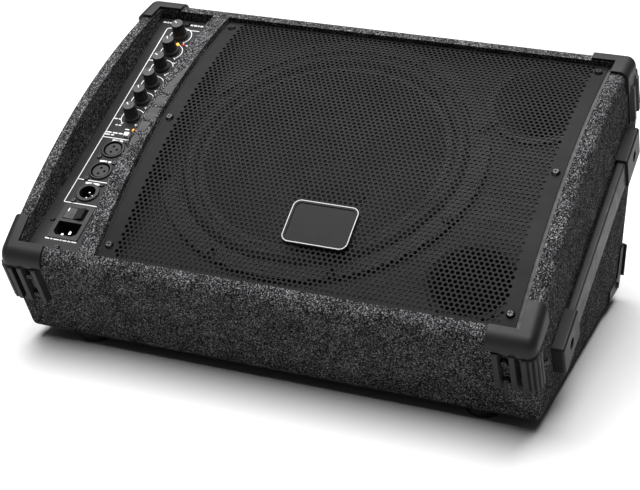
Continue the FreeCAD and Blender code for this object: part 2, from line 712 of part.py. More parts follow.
def woofer_basket():
    z = BAFFLE_Z
    shell = woofer([
        (WOOFER_RIM_R, z), (WOOFER_RIM_R, z + 3.0), (136.0, z + 3.0), (136.0, z - 17.0),
        (84.0, z - 65.0), (84.0, z - 76.0), (34.5, z - 76.0), (34.5, z - 79.0), (87.0, z - 79.0),
        (87.0, z - 66.5), (139.0, z - 18.0), (139.0, z),
    ])
    windows = []
    for i in range(8):
        window = box(70.0, 131.0, -24.0, 24.0, z - 71.0, z - 22.0)
        window.rotate(Vector(0, 0, 0), Vector(0, 0, 1), 360.0 / 8 * (i + 0.5))
        window.translate(Vector(WOOFER_X, WOOFER_Y, 0))
        windows.append(window)
    holes = [rod(x, y, z - 5, z + 9, 2.6) for x, y in woofer_screw_places()]
    return shell.cut(windows + holes)


def woofer_top_plate():
    z = BAFFLE_Z - 79.0
    return woofer([(COIL_R + 1.4, z), (68.0, z), (68.0, z - 8.0), (COIL_R + 1.4, z - 8.0)])


def woofer_magnet():
    z = BAFFLE_Z - 87.0
    return woofer([(42.0, z), (74.0, z), (74.0, z - 20.0), (42.0, z - 20.0)])


def woofer_pole_piece():
    z = BAFFLE_Z - 107.0
    return woofer([
        (9.0, z + 28.0), (COIL_R - 1.6, z + 28.0), (COIL_R - 1.6, z), (70.0, z), (70.0, z - 8.0),
        (9.0, z - 8.0),
    ])


def woofer_gasket():
    z = BAFFLE_Z + 3.0
    band = woofer([(141.5, z + 1.0), (141.5, z + 3.0), (WOOFER_RIM_R - 0.5, z + 3.0),
                   (WOOFER_RIM_R - 0.5, z), (142.4, z)])
    return band.cut([rod(x, y, z - 1, z + 9, 5.2) for x, y in woofer_screw_places()])


def woofer_surround():
    """Half roll between the basket's rim and the cone."""
    z = BAFFLE_Z + 3.0
    middle, roll, wall, steps = 129.0, 8.0, 1.0, 10
    outer, inner = [], []
    for i in range(steps + 1):
        angle = math.pi * i / steps
        outer.append((middle - (roll + wall) * math.cos(angle),
                      z + wall + (roll + wall) * 0.8 * math.sin(angle)))
        inner.append((middle - roll * math.cos(angle), z + roll * 0.8 * math.sin(angle)))
    points = [(115.0, z), (115.0, z + wall)] + outer + [(141.0, z + wall), (141.0, z)] + inner[::-1]
    return woofer(points)


def woofer_cone():
    z = BAFFLE_Z + 2.8
    return woofer([
        (119.0, z), (119.0, z - 1.0), (114.5, z - 1.6), (80.0, z - 25.0), (COIL_R + 1.0, z - 49.0),
        (COIL_R + 1.0, z - 47.4), (80.0, z - 23.2), (114.0, z),
    ])


def woofer_dust_cap():
    z = BAFFLE_Z - 41.0
    points = []
    radius, rise, steps = 36.0, 12.0, 8
    for i in range(steps + 1):
        t = i / steps
        points.append((radius * (1 - t), z + rise * (1 - (1 - t) ** 2)))
    under = [(r * 0.97, h - 0.9) for r, h in reversed(points)]
    return woofer(points + under)


def woofer_voice_coil():
    z = BAFFLE_Z
    return woofer([
        (COIL_R - 0.4, z - 46.5), (COIL_R + 0.3, z - 46.5), (COIL_R + 0.3, z - 76.5),
        (COIL_R + 0.8, z - 77.0), (COIL_R + 0.8, z - 89.5), (COIL_R - 0.4, z - 89.5),
    ])


def woofer_spider():
    """Corrugated disc that centres the voice coil."""
    z = BAFFLE_Z - 63.4
    steps, inner, outer, wall = 24, COIL_R + 0.6, 82.0, 0.8
    upper, lower = [], []
    for i in range(steps + 1):
        r = inner + (outer - inner) * i / steps
        height = z + 1.5 * math.sin(math.pi * i / 2.0)
        upper.append((r, height + wall))
        lower.append((r, height))
    return woofer(upper + lower[::-1])


def woofer_screw_places():
    places = []
    for i in range(WOOFER_SCREWS):
        angle = math.radians(22.5 + 360.0 / WOOFER_SCREWS * i)
        places.append((WOOFER_X + WOOFER_BOLT_R * math.cos(angle),
                       WOOFER_Y + WOOFER_BOLT_R * math.sin(angle)))
    return places


def horn_screw_places():
    places = []
    for i in range(4):
        angle = math.radians(45 + 90 * i)
        places.append((HORN_X + 49.3 * math.cos(angle), HORN_Y + 49.3 * math.sin(angle)))
    return places


def driver_screw_places():
    return woofer_screw_places() + horn_screw_places()


def driver_screws():
    screws = []
    for x, y in woofer_screw_places():
        screws.append(aimed(pan_screw(4.2, 2.8, 1.8, 11.0), (x, y, BAFFLE_Z + 3.0), (0, 0, 1)))
    for x, y in horn_screw_places():
        screws.append(aimed(pan_screw(2.9, 2.0, 1.4, 9.0), (x, y, BAFFLE_Z + 3.0), (0, 0, 1)))
    return group(screws)


# ================================================================ horn, tweeter, port
def horn():
    z = BAFFLE_Z
    depth, throat, wall, steps = 52.0, 12.7, 2.4, 8
    inner, outer = [], []
    for i in range(steps + 1):
        t = i / steps
        radius = throat * (HORN_MOUTH_R / throat) ** (t ** 1.15)
        height = z + 3.0 - depth + depth * t
        inner.append((radius, height))
        if i < steps:
            outer.append((radius + wall, height))
    rim = [(HORN_RIM_R, z + 3.0), (HORN_RIM_R, z), (HORN_MOUTH_R + 1.4, z), (HORN_MOUTH_R - 2.0, z - 9.0)]
    body = turned(inner + rim + outer[::-1], HORN_X, HORN_Y)
    return body.cut([rod(x, y, z - 1, z + 9, 1.7) for x, y in horn_screw_places()])


HORN_BACK_Z = BAFFLE_Z + 3.0 - 52.0


def tweeter_motor():
    """Compression driver: mounting plate, magnet and closed rear cover."""
    z = HORN_BACK_Z
    return turned([
        (12.7, z), (27.0, z), (27.0, z - 5.0), (38.0, z - 7.0), (38.0, z - 24.0), (33.0, z - 38.0),
        (0.0, z - 38.0), (0.0, z - 34.0), (24.0, z - 34.0), (24.0, z - 14.0), (12.7, z - 7.0),
    ], HORN_X, HORN_Y)


def tweeter_diaphragm():
    """Shallow dome behind the throat, with its coil former."""
    z = HORN_BACK_Z - 20.0
    points = [(0.0, z + 5.0), (9.0, z + 3.6), (17.0, z), (21.5, z), (21.5, z - 0.8), (18.0, z - 0.8),
              (18.0, z - 6.0), (17.2, z - 6.0), (17.2, z - 0.8), (9.0, z + 2.8), (0.0, z + 4.2)]
    return turned(points, HORN_X, HORN_Y)


def port_tube():
    z = BAFFLE_Z
    wall = 3.0
    return turned([
        (PORT_R, z - PORT_LENGTH), (PORT_R, z - 2.0), (PORT_R + 4.0, z + 3.0),
        (PORT_R + 8.0, z + 2.0), (PORT_R + 8.0, z), (PORT_R + wall, z), (PORT_R + wall, z - PORT_LENGTH),
    ], PORT_X, PORT_Y)


# ================================================================ amplifier
PANEL_LEFT = -237.2
PANEL_RIGHT = -178.6
PANEL_LOW_Y = -164.6
PANEL_HIGH_Y = 162.6
PANEL_BACK_Z = PANEL_Z - PANEL_SHEET
CHASSIS_DEPTH = 60.0
CHASSIS_LOW_Y = -149.0
CHASSIS_HIGH_Y = 150.5


def knob_places():
    return [(KNOB_X, KNOB_TOP_Y - KNOB_PITCH * i) for i in range(KNOB_COUNT)]


def xlr_places():
    return [(XLR_X, XLR_TOP_Y - XLR_PITCH * i) for i in range(3)]


def xlr_screw_places():
    places = []
    for x, y in xlr_places():
        places.append((x - XLR_SCREW_DX, y - XLR_SCREW_DY))
        places.append((x + XLR_SCREW_DX, y + XLR_SCREW_DY))
    return places


def inlet_screw_places():
    half = INLET_SCREW_PITCH / 2
    return [(PANEL_MID_X - half, INLET_Y), (PANEL_MID_X + half, INLET_Y)]


def panel_end_screw_places():
    return [(PANEL_MID_X, -156.5), (PANEL_MID_X, 157.0)]


def control_panel():
    plate = box(PANEL_LEFT, PANEL_RIGHT, PANEL_LOW_Y, PANEL_HIGH_Y, PANEL_BACK_Z, PANEL_Z)
    low, high = PANEL_BACK_Z - 1, PANEL_Z + 1
    holes = [rod(x, y, low, high, 3.3) for x, y in knob_places()]
    holes += [rod(x, y, low, high, LAMP_R + 0.1) for x, y in LAMP_PLACES]
    holes += [rod(x, y, low, high, XLR_SHELL_R + 0.1) for x, y in xlr_places()]
    holes += [rod(x, y, low, high, 1.6) for x, y in xlr_screw_places() + inlet_screw_places()]
    holes += [rod(x, y, low, high, 2.0) for x, y in panel_end_screw_places()]
    side = BUTTON_SIDE / 2 + 0.35
    holes.append(box(BUTTON_X - side, BUTTON_X + side, BUTTON_Y - side, BUTTON_Y + side, low, high))
    holes.append(box(PANEL_MID_X - 14.6, PANEL_MID_X + 14.6, INLET_Y - 20.6, INLET_Y + 19.6, low, high))
    return plate.cut(holes)


def amp_chassis():
    """Folded steel tray behind the panel."""
    x0, x1 = PANEL_MID_X - 26.5, PANEL_MID_X + 26.5
    z0, z1 = PANEL_BACK_Z - CHASSIS_DEPTH, PANEL_BACK_Z
    sheet = 1.2
    tray = box(x0, x1, CHASSIS_LOW_Y, CHASSIS_HIGH_Y, z0, z1)
    hollow = box(x0 + sheet, x1 - sheet, CHASSIS_LOW_Y + sheet, CHASSIS_HIGH_Y - sheet,
                 z0 + sheet, z1 + 1)
    tabs = [box(x0, x1, CHASSIS_HIGH_Y - 0.1, PANEL_HIGH_Y - 1.5, z1 - sheet, z1),
            box(x0, x1, PANEL_LOW_Y + 1.5, CHASSIS_LOW_Y + 0.1, z1 - sheet, z1)]
    tray = joined([tray.cut(hollow)] + tabs)
    return tray.cut([rod(x, y, z1 - 4, z1 + 1, 2.0) for x, y in panel_end_screw_places()])


def panel_screws():
    small = pan_screw(2.8, 1.6, 1.4, 7.0)
    large = pan_screw(3.4, 2.0, 1.5, 12.0)
    screws = [aimed(small, (x, y, PANEL_Z), (0, 0, 1))
              for x, y in xlr_screw_places() + inlet_screw_places()]
    screws += [aimed(large, (x, y, PANEL_Z), (0, 0, 1)) for x, y in panel_end_screw_places()]
    return group(screws)


def knob(x, y, pointer_angle):
    """Fluted skirted knob with its pointer line, and the shaft pressed into it."""
    z0, z1 = PANEL_Z + 0.6, PANEL_Z + KNOB_HEIGHT
    body = cone(0, 0, z0 + 3.0, z1, KNOB_SKIRT_R - 0.9, KNOB_TOP_R)
    skirt = cone(0, 0, z0, z0 + 3.0, KNOB_SKIRT_R, KNOB_SKIRT_R - 0.6)
    body = joined([body, skirt])
    flutes = []
    for i in range(12):
        groove = Part.makeCylinder(0.8, 12.2, Vector(KNOB_SKIRT_R - 0.7, 0, z0 + 3.2), Vector(-1.0, 0, 9.6))
        groove.rotate(Vector(0, 0, 0), Vector(0, 0, 1), 30.0 * i + 15.0)
        flutes.append(groove)
    line = box(-0.55, 0.55, 0.8, KNOB_TOP_R + 0.5, z1 - 0.4, z1 + 1)
    socket = rod(0, 0, z0 - 1, z0 + 9.0, 3.0)
    shaft = rod(0, 0, PANEL_Z - 13.0, z0 + 8.5, 3.0)
    piece = group([body.cut(flutes + [line, socket]), shaft])
    piece.rotate(Vector(0, 0, 0), Vector(0, 0, 1), pointer_angle)
    piece.translate(Vector(x, y, 0))
    return piece


def potentiometers():
    bodies = []
    for x, y in knob_places():
        case = box(x - 6.0, x + 6.0, y - 6.5, y + 5.5, PANEL_Z - 13.0, PANEL_BACK_Z - 0.3)
        bush = rod(x, y, PANEL_BACK_Z - 1.0, PANEL_Z, 3.25)
        bodies.append(case.fuse(bush).cut(rod(x, y, PANEL_Z - 14, PANEL_Z + 1, 3.06)))
    return group(bodies)


def circuit_board():
    z = PANEL_Z - 13.4
    plate = box(PANEL_MID_X - 24.5, PANEL_MID_X + 24.5, 6.0, 148.5, z - 1.6, z)
    parts = []
    for i in range(5):
        y = 28.0 + 24.3 * i
        parts.append(rod(PANEL_MID_X + 15.5, y, z - 0.1, z + 8.0, 3.6))
        parts.append(box(PANEL_MID_X - 20.0, PANEL_MID_X - 12.0, y - 4.0, y + 4.0, z - 0.1, z + 2.4))
    return joined([plate] + parts)


def indicator_lamps():
    lamps = []
    for x, y in LAMP_PLACES:
        body = rod(x, y, PANEL_BACK_Z - 5.0, PANEL_Z + 0.5, LAMP_R)
        lens = Part.makeSphere(LAMP_R, Vector(x, y, PANEL_Z + 0.5))
        collar = rod(x, y, PANEL_BACK_Z - 5.0, PANEL_BACK_Z - 3.8, LAMP_R + 0.3)
        lamps.append(joined([body, lens, collar]))
    return group(lamps)


def push_button():
    half = BUTTON_SIDE / 2
    cap = box(BUTTON_X - half, BUTTON_X + half, BUTTON_Y - half, BUTTON_Y + half,
              PANEL_BACK_Z - 4.0, PANEL_Z + 2.8)
    cap = cap.makeFillet(0.5, [e for e in cap.Edges if abs(e.CenterOfMass.z - PANEL_Z - 2.8) < 0.01])
    stem = box(BUTTON_X - 1.5, BUTTON_X + 1.5, BUTTON_Y - 1.5, BUTTON_Y + 1.5,
               PANEL_BACK_Z - 9.0, PANEL_BACK_Z - 3.9)
    return joined([cap, stem])


def xlr_shells():
    """Round shells of two socket connectors and one plug connector."""
    shells = []
    for i, (x, y) in enumerate(xlr_places()):
        bore = XLR_MALE_R if i == 2 else XLR_FEMALE_R
        front = PANEL_Z + 1.8
        body = rod(x, y, PANEL_BACK_Z - 22.0, front, XLR_SHELL_R)
        body = body.makeFillet(0.8, [e for e in body.Edges if abs(e.CenterOfMass.z - front) < 0.01])
        ears = [(x - XLR_SCREW_DX, y - XLR_SCREW_DY), (x + XLR_SCREW_DX, y + XLR_SCREW_DY)]
        lugs = [rod(ex, ey, PANEL_BACK_Z - 6.0, PANEL_BACK_Z - 0.02, 3.4) for ex, ey in ears]
        web = rod(x, y, PANEL_BACK_Z - 6.0, PANEL_BACK_Z - 0.02, XLR_SHELL_R + 1.4)
        body = joined([body, web] + lugs)
        holes = [rod(x, y, PANEL_BACK_Z - 17.0, front + 1, bore)]
        holes += [rod(ex, ey, PANEL_BACK_Z - 9.0, PANEL_Z, 1.45) for ex, ey in ears]
        shells.append(body.cut(holes))
    return group(shells)


def contact_places(x, y):
    """The three contacts sit round the centre, towards the top, right and bottom."""
    return [(x + 3.9 * math.cos(math.radians(a)), y + 3.9 * math.sin(math.radians(a)))
            for a in (105.0, 0.0, 255.0)]


def xlr_inserts():
    inserts = []
    floor = PANEL_BACK_Z - 17.0
    for i, (x, y) in enumerate(xlr_places()):
        if i == 2:
            inserts.append(rod(x, y, floor, floor + 3.0, XLR_MALE_R - 0.05))
            continue
        plug = rod(x, y, floor, PANEL_Z + 0.6, XLR_INSERT_R)
        inserts.append(plug.cut([rod(px, py, floor + 2.0, PANEL_Z + 3, 1.35)
                                 for px, py in contact_places(x, y)]))
    return group(inserts)


def connector_contacts():
    """Silver pins of the plug connector, and the three blades of the mains inlet."""
    contacts = []
    floor = PANEL_BACK_Z - 17.0
    x, y = xlr_places()[2]
    for px, py in contact_places(x, y):
        pin = rod(px, py, floor + 3.0, PANEL_Z - 3.0, 1.2)
        contacts.append(pin.makeFillet(0.7, [e for e in pin.Edges if e.CenterOfMass.z > PANEL_Z - 3.1]))
    for dx, dy in ((-7.0, -2.0), (0.0, 2.0), (7.0, -2.0)):
        bx, by = PANEL_MID_X + dx, INLET_Y - 9.6 + dy
        contacts.append(box(bx - 1.0, bx + 1.0, by - 2.0, by + 2.0, PANEL_Z - 20.0, PANEL_Z - 6.5))
    return group(contacts)


def inlet_module():
    """One moulding that holds the mains inlet below and the rocker switch above."""
    x, y = PANEL_MID_X, INLET_Y
    front = PANEL_Z + 1.2
    bezel = rounded_plate(x, y - 0.5, PANEL_Z, front, 32.0, 43.0, 2.0)
    body = box(x - 14.2, x + 14.2, y - 20.2, y + 19.2, PANEL_BACK_Z - 26.0, PANEL_Z + 0.1)
    lugs = [rod(sx, sy, PANEL_BACK_Z - 3.0, PANEL_BACK_Z - 0.02, 3.6) for sx, sy in inlet_screw_places()]
    lugs.append(box(x - 20.0, x + 20.0, y - 3.0, y + 3.0, PANEL_BACK_Z - 3.0, PANEL_BACK_Z - 0.02))
    body = joined([bezel, body] + lugs)
    half_w, half_h, corner = INLET_MOUTH_W / 2, INLET_MOUTH_H / 2, 3.6
    my = y - 9.6
    mouth = [(x - half_w, my + half_h), (x + half_w, my + half_h), (x + half_w, my - half_h + corner),
             (x + half_w - corner, my - half_h), (x - half_w + corner, my - half_h),
             (x - half_w, my - half_h + corner)]
    holes = [prism_z(mouth, PANEL_Z - 20.0, front + 1)]
    ry = y + 9.5
    holes.append(box(x - 11.0, x + 11.0, ry - 7.2, ry + 7.2, PANEL_Z - 14.0, front + 1))
    holes += [rod(sx, sy, PANEL_BACK_Z - 9.0, PANEL_Z, 1.45) for sx, sy in inlet_screw_places()]
    axle = Part.makeCylinder(1.3, 17.4, Vector(x, ry - 8.7, PANEL_Z - 3.0), Vector(0, 1, 0))
    return body.cut(holes + [axle])


ROCKER_Y = INLET_Y + 9.5
ROCKER_Z = PANEL_Z - 3.0


def rocker():
    """Power switch paddle on its axle, tipped with its left half pressed in."""
    x = PANEL_MID_X
    outline_xz = [(-9.6, 6.2), (0.0, 4.2), (9.6, 6.2), (9.9, -3.0), (-9.9, -3.0)]
    points = [(x + px, ROCKER_Z + pz) for px, pz in outline_xz]
    paddle = prism_y(points, ROCKER_Y - 6.6, ROCKER_Y + 6.6)
    axle = Part.makeCylinder(1.25, 16.6, Vector(x, ROCKER_Y - 8.3, ROCKER_Z), Vector(0, 1, 0))
    piece = joined([paddle, axle])
    piece.rotate(Vector(x, ROCKER_Y, ROCKER_Z), Vector(0, 1, 0), -ROCKER_TILT)
    return piece


def transformer():
    """Toroidal transformer on the floor of the tray."""
    z = PANEL_BACK_Z - CHASSIS_DEPTH + 1.5
    x, y = PANEL_MID_X, 48.0
    core = ring(x, y, z, z + 26.0, 9.0, 24.0)
    core = core.makeFillet(5.0, [e for e in core.Edges if e.Length > 20 and e.BoundBox.ZLength < 0.1])
    disc = rod(x, y, z + 26.1, z + 27.4, 16.0)
    bolt = rod(x, y, z, z + 31.0, 2.5)
    washer = joined([disc, bolt, rod(x, y, z + 27.3, z + 31.0, 4.5)])
    return group([core, washer])


def heat_sink():
    z = PANEL_BACK_Z - CHASSIS_DEPTH + 1.5
    x0, x1 = PANEL_MID_X - 23.0, PANEL_MID_X + 23.0
    base = box(x0, x1, 82.0, 144.0, z, z + 5.0)
    fins = []
    for i in range(9):
        fx = x0 + 5.5 * i
        fins.append(box(fx, fx + 1.8, 82.0, 144.0, z + 4.9, z + 30.0))
    return joined([base] + fins)


# ================================================================ assembly
def build():
    """Every node of the assembly, in the slope frame."""
    parts = {}
    parts["side_panel_left"], parts["side_panel_right"] = side_panels()
    for index, name in enumerate(("front_board", "bottom_board", "rear_board", "top_board")):
        parts[name] = case_board(index)
    parts["baffle_board"] = baffle_board()
    parts["divider_board"] = divider_board()
    parts["mounting_battens"] = battens()
    parts["carpet_covering"] = carpet_covering()
    parts["damping_pads"] = damping_pads()
    for name, maker in (("front", front_protector), ("top", top_protector), ("rear", rear_protector)):
        right = maker()
        parts["protector_" + name + "_right"] = right
        parts["protector_" + name + "_left"] = mirrored(right)
    parts["cabinet_screws"] = cabinet_screws()
    parts["rubber_feet"] = rubber_feet()
    parts["handle_caps"] = handle_caps()
    parts["handle_grip"] = handle_grip()
    parts["handle_strap_ends"] = handle_strap_ends()
    parts["grille"] = grille()
    parts["grille_screws"] = grille_screws()
    parts["badge"] = badge()
    parts["woofer_basket"] = woofer_basket()
    parts["woofer_magnet"] = woofer_magnet()
    parts["woofer_top_plate"] = woofer_top_plate()
    parts["woofer_pole_piece"] = woofer_pole_piece()
    parts["woofer_gasket"] = woofer_gasket()
    parts["woofer_surround"] = woofer_surround()
    parts["woofer_cone"] = woofer_cone()
    parts["woofer_dust_cap"] = woofer_dust_cap()
    parts["woofer_spider"] = woofer_spider()
    parts["woofer_voice_coil"] = woofer_voice_coil()
    parts["driver_screws"] = driver_screws()
    parts["horn"] = horn()
    parts["tweeter_motor"] = tweeter_motor()
    parts["tweeter_diaphragm"] = tweeter_diaphragm()
    parts["port_tube"] = port_tube()
    parts["control_panel"] = control_panel()
    parts["amp_chassis"] = amp_chassis()
    parts["panel_screws"] = panel_screws()
    for i, (x, y) in enumerate(knob_places()):
        parts["knob_%d" % (i + 1)] = knob(x, y, POINTER_ANGLES[i])
    parts["potentiometers"] = potentiometers()
    parts["circuit_board"] = circuit_board()
    parts["indicator_lamps"] = indicator_lamps()
    parts["push_button"] = push_button()
    parts["xlr_shells"] = xlr_shells()
    parts["xlr_inserts"] = xlr_inserts()
    parts["connector_contacts"] = connector_contacts()
    parts["inlet_module"] = inlet_module()
    parts["rocker"] = rocker()
    parts["transformer"] = transformer()
    parts["heat_sink"] = heat_sink()
    return parts


def place(parts):
    """Tips the assembly onto its feet and centres its base on the origin."""
    tipped = {}
    for name, shape in parts.items():
        turned_shape = shape.copy()
        turned_shape.rotate(Vector(0, 0, 0), Vector(1, 0, 0), FLOOR_TILT)
        tipped[name] = turned_shape
    boxes = [shape.optimalBoundingBox(False, False) for shape in tipped.values()]
    shift = Vector(-(min(b.XMin for b in boxes) + max(b.XMax for b in boxes)) / 2,
                   -(min(b.YMin for b in boxes) + max(b.YMax for b in boxes)) / 2,
                   -min(b.ZMin for b in boxes))
    for shape in tipped.values():
        shape.translate(shift)
    return tipped, shift


def main():
    os.makedirs("parts", exist_ok=True)
    tipped, shift = place(build())
    for name, shape in tipped.items():
        shape.exportStep("parts/" + name + ".step")
        facts = (name, len(shape.Solids), shape.Volume, shape.isValid())
        print("%-24s %3d solids  volume %12.1f  valid %s" % facts)
    print("shift", tuple(round(v, 4) for v in shift))


main()
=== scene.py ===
import json
import math

import bmesh
import bpy
from bpy.props import FloatProperty, FloatVectorProperty, IntProperty, PointerProperty
from bpy.types import Operator, Panel, PropertyGroup
from mathutils import Matrix, Vector
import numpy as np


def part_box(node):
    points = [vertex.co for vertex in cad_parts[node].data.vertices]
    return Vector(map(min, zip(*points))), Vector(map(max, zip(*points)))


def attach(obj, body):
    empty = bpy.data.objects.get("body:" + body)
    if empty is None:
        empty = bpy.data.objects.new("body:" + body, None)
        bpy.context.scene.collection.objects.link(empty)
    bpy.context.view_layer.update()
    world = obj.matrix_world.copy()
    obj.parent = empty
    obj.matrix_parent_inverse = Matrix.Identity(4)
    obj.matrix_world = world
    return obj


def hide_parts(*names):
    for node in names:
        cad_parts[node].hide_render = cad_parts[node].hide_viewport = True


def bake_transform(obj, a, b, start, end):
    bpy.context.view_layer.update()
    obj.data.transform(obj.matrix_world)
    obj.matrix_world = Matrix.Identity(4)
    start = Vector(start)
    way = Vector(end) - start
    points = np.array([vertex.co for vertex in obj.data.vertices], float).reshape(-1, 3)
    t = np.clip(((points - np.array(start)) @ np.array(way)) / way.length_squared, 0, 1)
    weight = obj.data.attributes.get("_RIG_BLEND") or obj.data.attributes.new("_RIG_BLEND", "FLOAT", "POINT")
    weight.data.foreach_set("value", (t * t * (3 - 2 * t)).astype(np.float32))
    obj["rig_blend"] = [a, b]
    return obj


bl_info = {
    "name": "Stage monitor wedge",
    "version": (1, 0, 0),
    "blender": (4, 5, 0),
    "location": "3D View > Sidebar > Wedge",
    "description": "Finishes and soft pieces of a carpeted stage monitor wedge",
    "category": "Object",
}

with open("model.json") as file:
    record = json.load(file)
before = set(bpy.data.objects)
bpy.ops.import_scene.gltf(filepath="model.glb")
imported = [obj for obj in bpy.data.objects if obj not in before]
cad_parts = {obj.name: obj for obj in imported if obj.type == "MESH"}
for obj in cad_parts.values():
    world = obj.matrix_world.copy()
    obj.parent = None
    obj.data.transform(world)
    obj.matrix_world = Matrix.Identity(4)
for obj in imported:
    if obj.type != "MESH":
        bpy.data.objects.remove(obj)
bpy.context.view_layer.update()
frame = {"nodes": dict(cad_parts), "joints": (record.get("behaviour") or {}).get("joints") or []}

MM = 0.001
WELD = 0.02 * MM
WAVE_PERIOD = 0.314
JOINTS = {joint["name"]: joint for joint in frame["joints"]}

# Points nearer than WELD are one point. A wave texture of scale 1 repeats every WAVE_PERIOD.
# The sloping face has its own directions: RIGHT along it, UP the slope, OUT of it.
# Its lengths are in millimetres from the crown of the grille, in the middle of the cabinet.
RIGHT = Vector((1.0, 0.0, 0.0))
OUT = Vector(JOINTS["woofer_excursion"]["axis"]).normalized()
UP = OUT.cross(RIGHT)
FACE_TILT = math.atan2(UP.z, UP.y)
FIRST_KNOB = (-207.8, 139.5, -19.0)
FACE_ORIGIN = Vector(JOINTS["knob_1_turn"]["pos_m"]) - MM * (
    FIRST_KNOB[0] * RIGHT + FIRST_KNOB[1] * UP + FIRST_KNOB[2] * OUT)

PANEL_Z = -27.0
BAFFLE_Z = -30.0
GRILLE_RADIUS = 647.5
WOOFER = (0.0, 5.0)
KNOB_COUNT = 6
KNOB_PITCH = 24.3
POINTER_ANGLES = [-JOINTS[f"knob_{i + 1}_turn"]["range_deg"][0] - 150.0 for i in range(KNOB_COUNT)]


def face(x, y, z):
    """A point of the sloping face's own directions, in the frame's metres."""
    return FACE_ORIGIN + MM * (x * RIGHT + y * UP + z * OUT)


# ---------------------------------------------------------------- settings
class CarpetSettings(PropertyGroup):
    dark: FloatVectorProperty(name="Dark fibres", description="Colour of the ground fibres",
                              subtype="COLOR", size=3, default=(0.0035, 0.0035, 0.0038))
    light: FloatVectorProperty(name="Light flecks", description="Colour of the pale fibres",
                               subtype="COLOR", size=3, default=(0.24, 0.24, 0.247))
    fleck: FloatProperty(name="Fleck size", description="Length of one fleck", unit="LENGTH",
                         default=0.0015, min=0.0005, max=0.01)
    pile: FloatProperty(name="Pile height", description="How far the fibres stand out",
                        unit="LENGTH", default=0.0009, min=0.0, max=0.005)


class PlasticSettings(PropertyGroup):
    protector: FloatVectorProperty(name="Protectors", description="Colour of the corner protectors",
                                   subtype="COLOR", size=3, default=(0.0075, 0.0075, 0.008))
    rubber: FloatVectorProperty(name="Strap", description="Colour of the strap and the feet",
                                subtype="COLOR", size=3, default=(0.0065, 0.0065, 0.007))
    knob: FloatVectorProperty(name="Knobs", description="Colour of the knobs",
                              subtype="COLOR", size=3, default=(0.022, 0.022, 0.023))
    edge: FloatProperty(name="Edge rounding", description="Rounding of moulded edges",
                        unit="LENGTH", default=0.0007, min=0.0001, max=0.003)


class GrilleSettings(PropertyGroup):
    pitch: FloatProperty(name="Hole pitch", description="Distance between neighbouring holes",
                         unit="LENGTH", default=0.005, min=0.003, max=0.02)
    hole: FloatProperty(name="Hole diameter", description="Diameter of one hole", unit="LENGTH",
                        default=0.0038, min=0.001, max=0.018)
    sheet: FloatProperty(name="Sheet thickness", description="Thickness of the grille's steel",
                         unit="LENGTH", default=0.0013, min=0.0005, max=0.003)
    paint: FloatVectorProperty(name="Paint", description="Colour of the powder coating",
                               subtype="COLOR", size=3, default=(0.0065, 0.0065, 0.007))


class PrintSettings(PropertyGroup):
    ink: FloatVectorProperty(name="Ink", description="Colour of the printed lines",
                             subtype="COLOR", size=3, default=(0.50, 0.50, 0.50))
    line: FloatProperty(name="Line width", description="Width of the printed lines",
                        unit="LENGTH", default=0.0009, min=0.0002, max=0.003)
    panel: FloatVectorProperty(name="Panel", description="Colour of the control panel's paint",
                               subtype="COLOR", size=3, default=(0.017, 0.017, 0.018))


class StageSettings(PropertyGroup):
    lens: FloatProperty(name="Lens", description="Focal length of the camera in millimetres",
                        subtype="NONE", default=97.58, min=10.0, max=300.0)
    distance: FloatProperty(name="Distance", description="From the camera to its target",
                            unit="LENGTH", default=1.647, min=0.5, max=10.0)
    azimuth: FloatProperty(name="Azimuth", description="Angle of the camera round the cabinet",
                           subtype="ANGLE", default=math.radians(22.09))
    elevation: FloatProperty(name="Elevation", description="Angle of the camera over the floor",
                             subtype="ANGLE", default=math.radians(24.08))
    target: FloatVectorProperty(name="Target", description="Point that the camera looks at",
                                subtype="XYZ", size=3, default=tuple(face(1.7, -44.85, -97.74)))
    floor: FloatVectorProperty(name="Floor", description="Colour of the floor",
                               subtype="COLOR", size=3, default=(0.58, 0.58, 0.58))


class WedgeSettings(PropertyGroup):
    carpet: PointerProperty(type=CarpetSettings)
    plastic: PointerProperty(type=PlasticSettings)
    grille: PointerProperty(type=GrilleSettings)
    print: PointerProperty(type=PrintSettings)
    stage: PointerProperty(type=StageSettings)
    turns: IntProperty(name="Round steps", description="Steps round a spun piece",
                       default=96, min=16, max=256)


# ---------------------------------------------------------------- finishes
BADGE_MIDDLE = (37.0, -97.0)
BADGE_HALF = (32.0, 23.0)
BADGE_ROUND = 8.0


def times(colour, share):
    """A colour made darker or paler."""
    return tuple(share * c for c in colour)


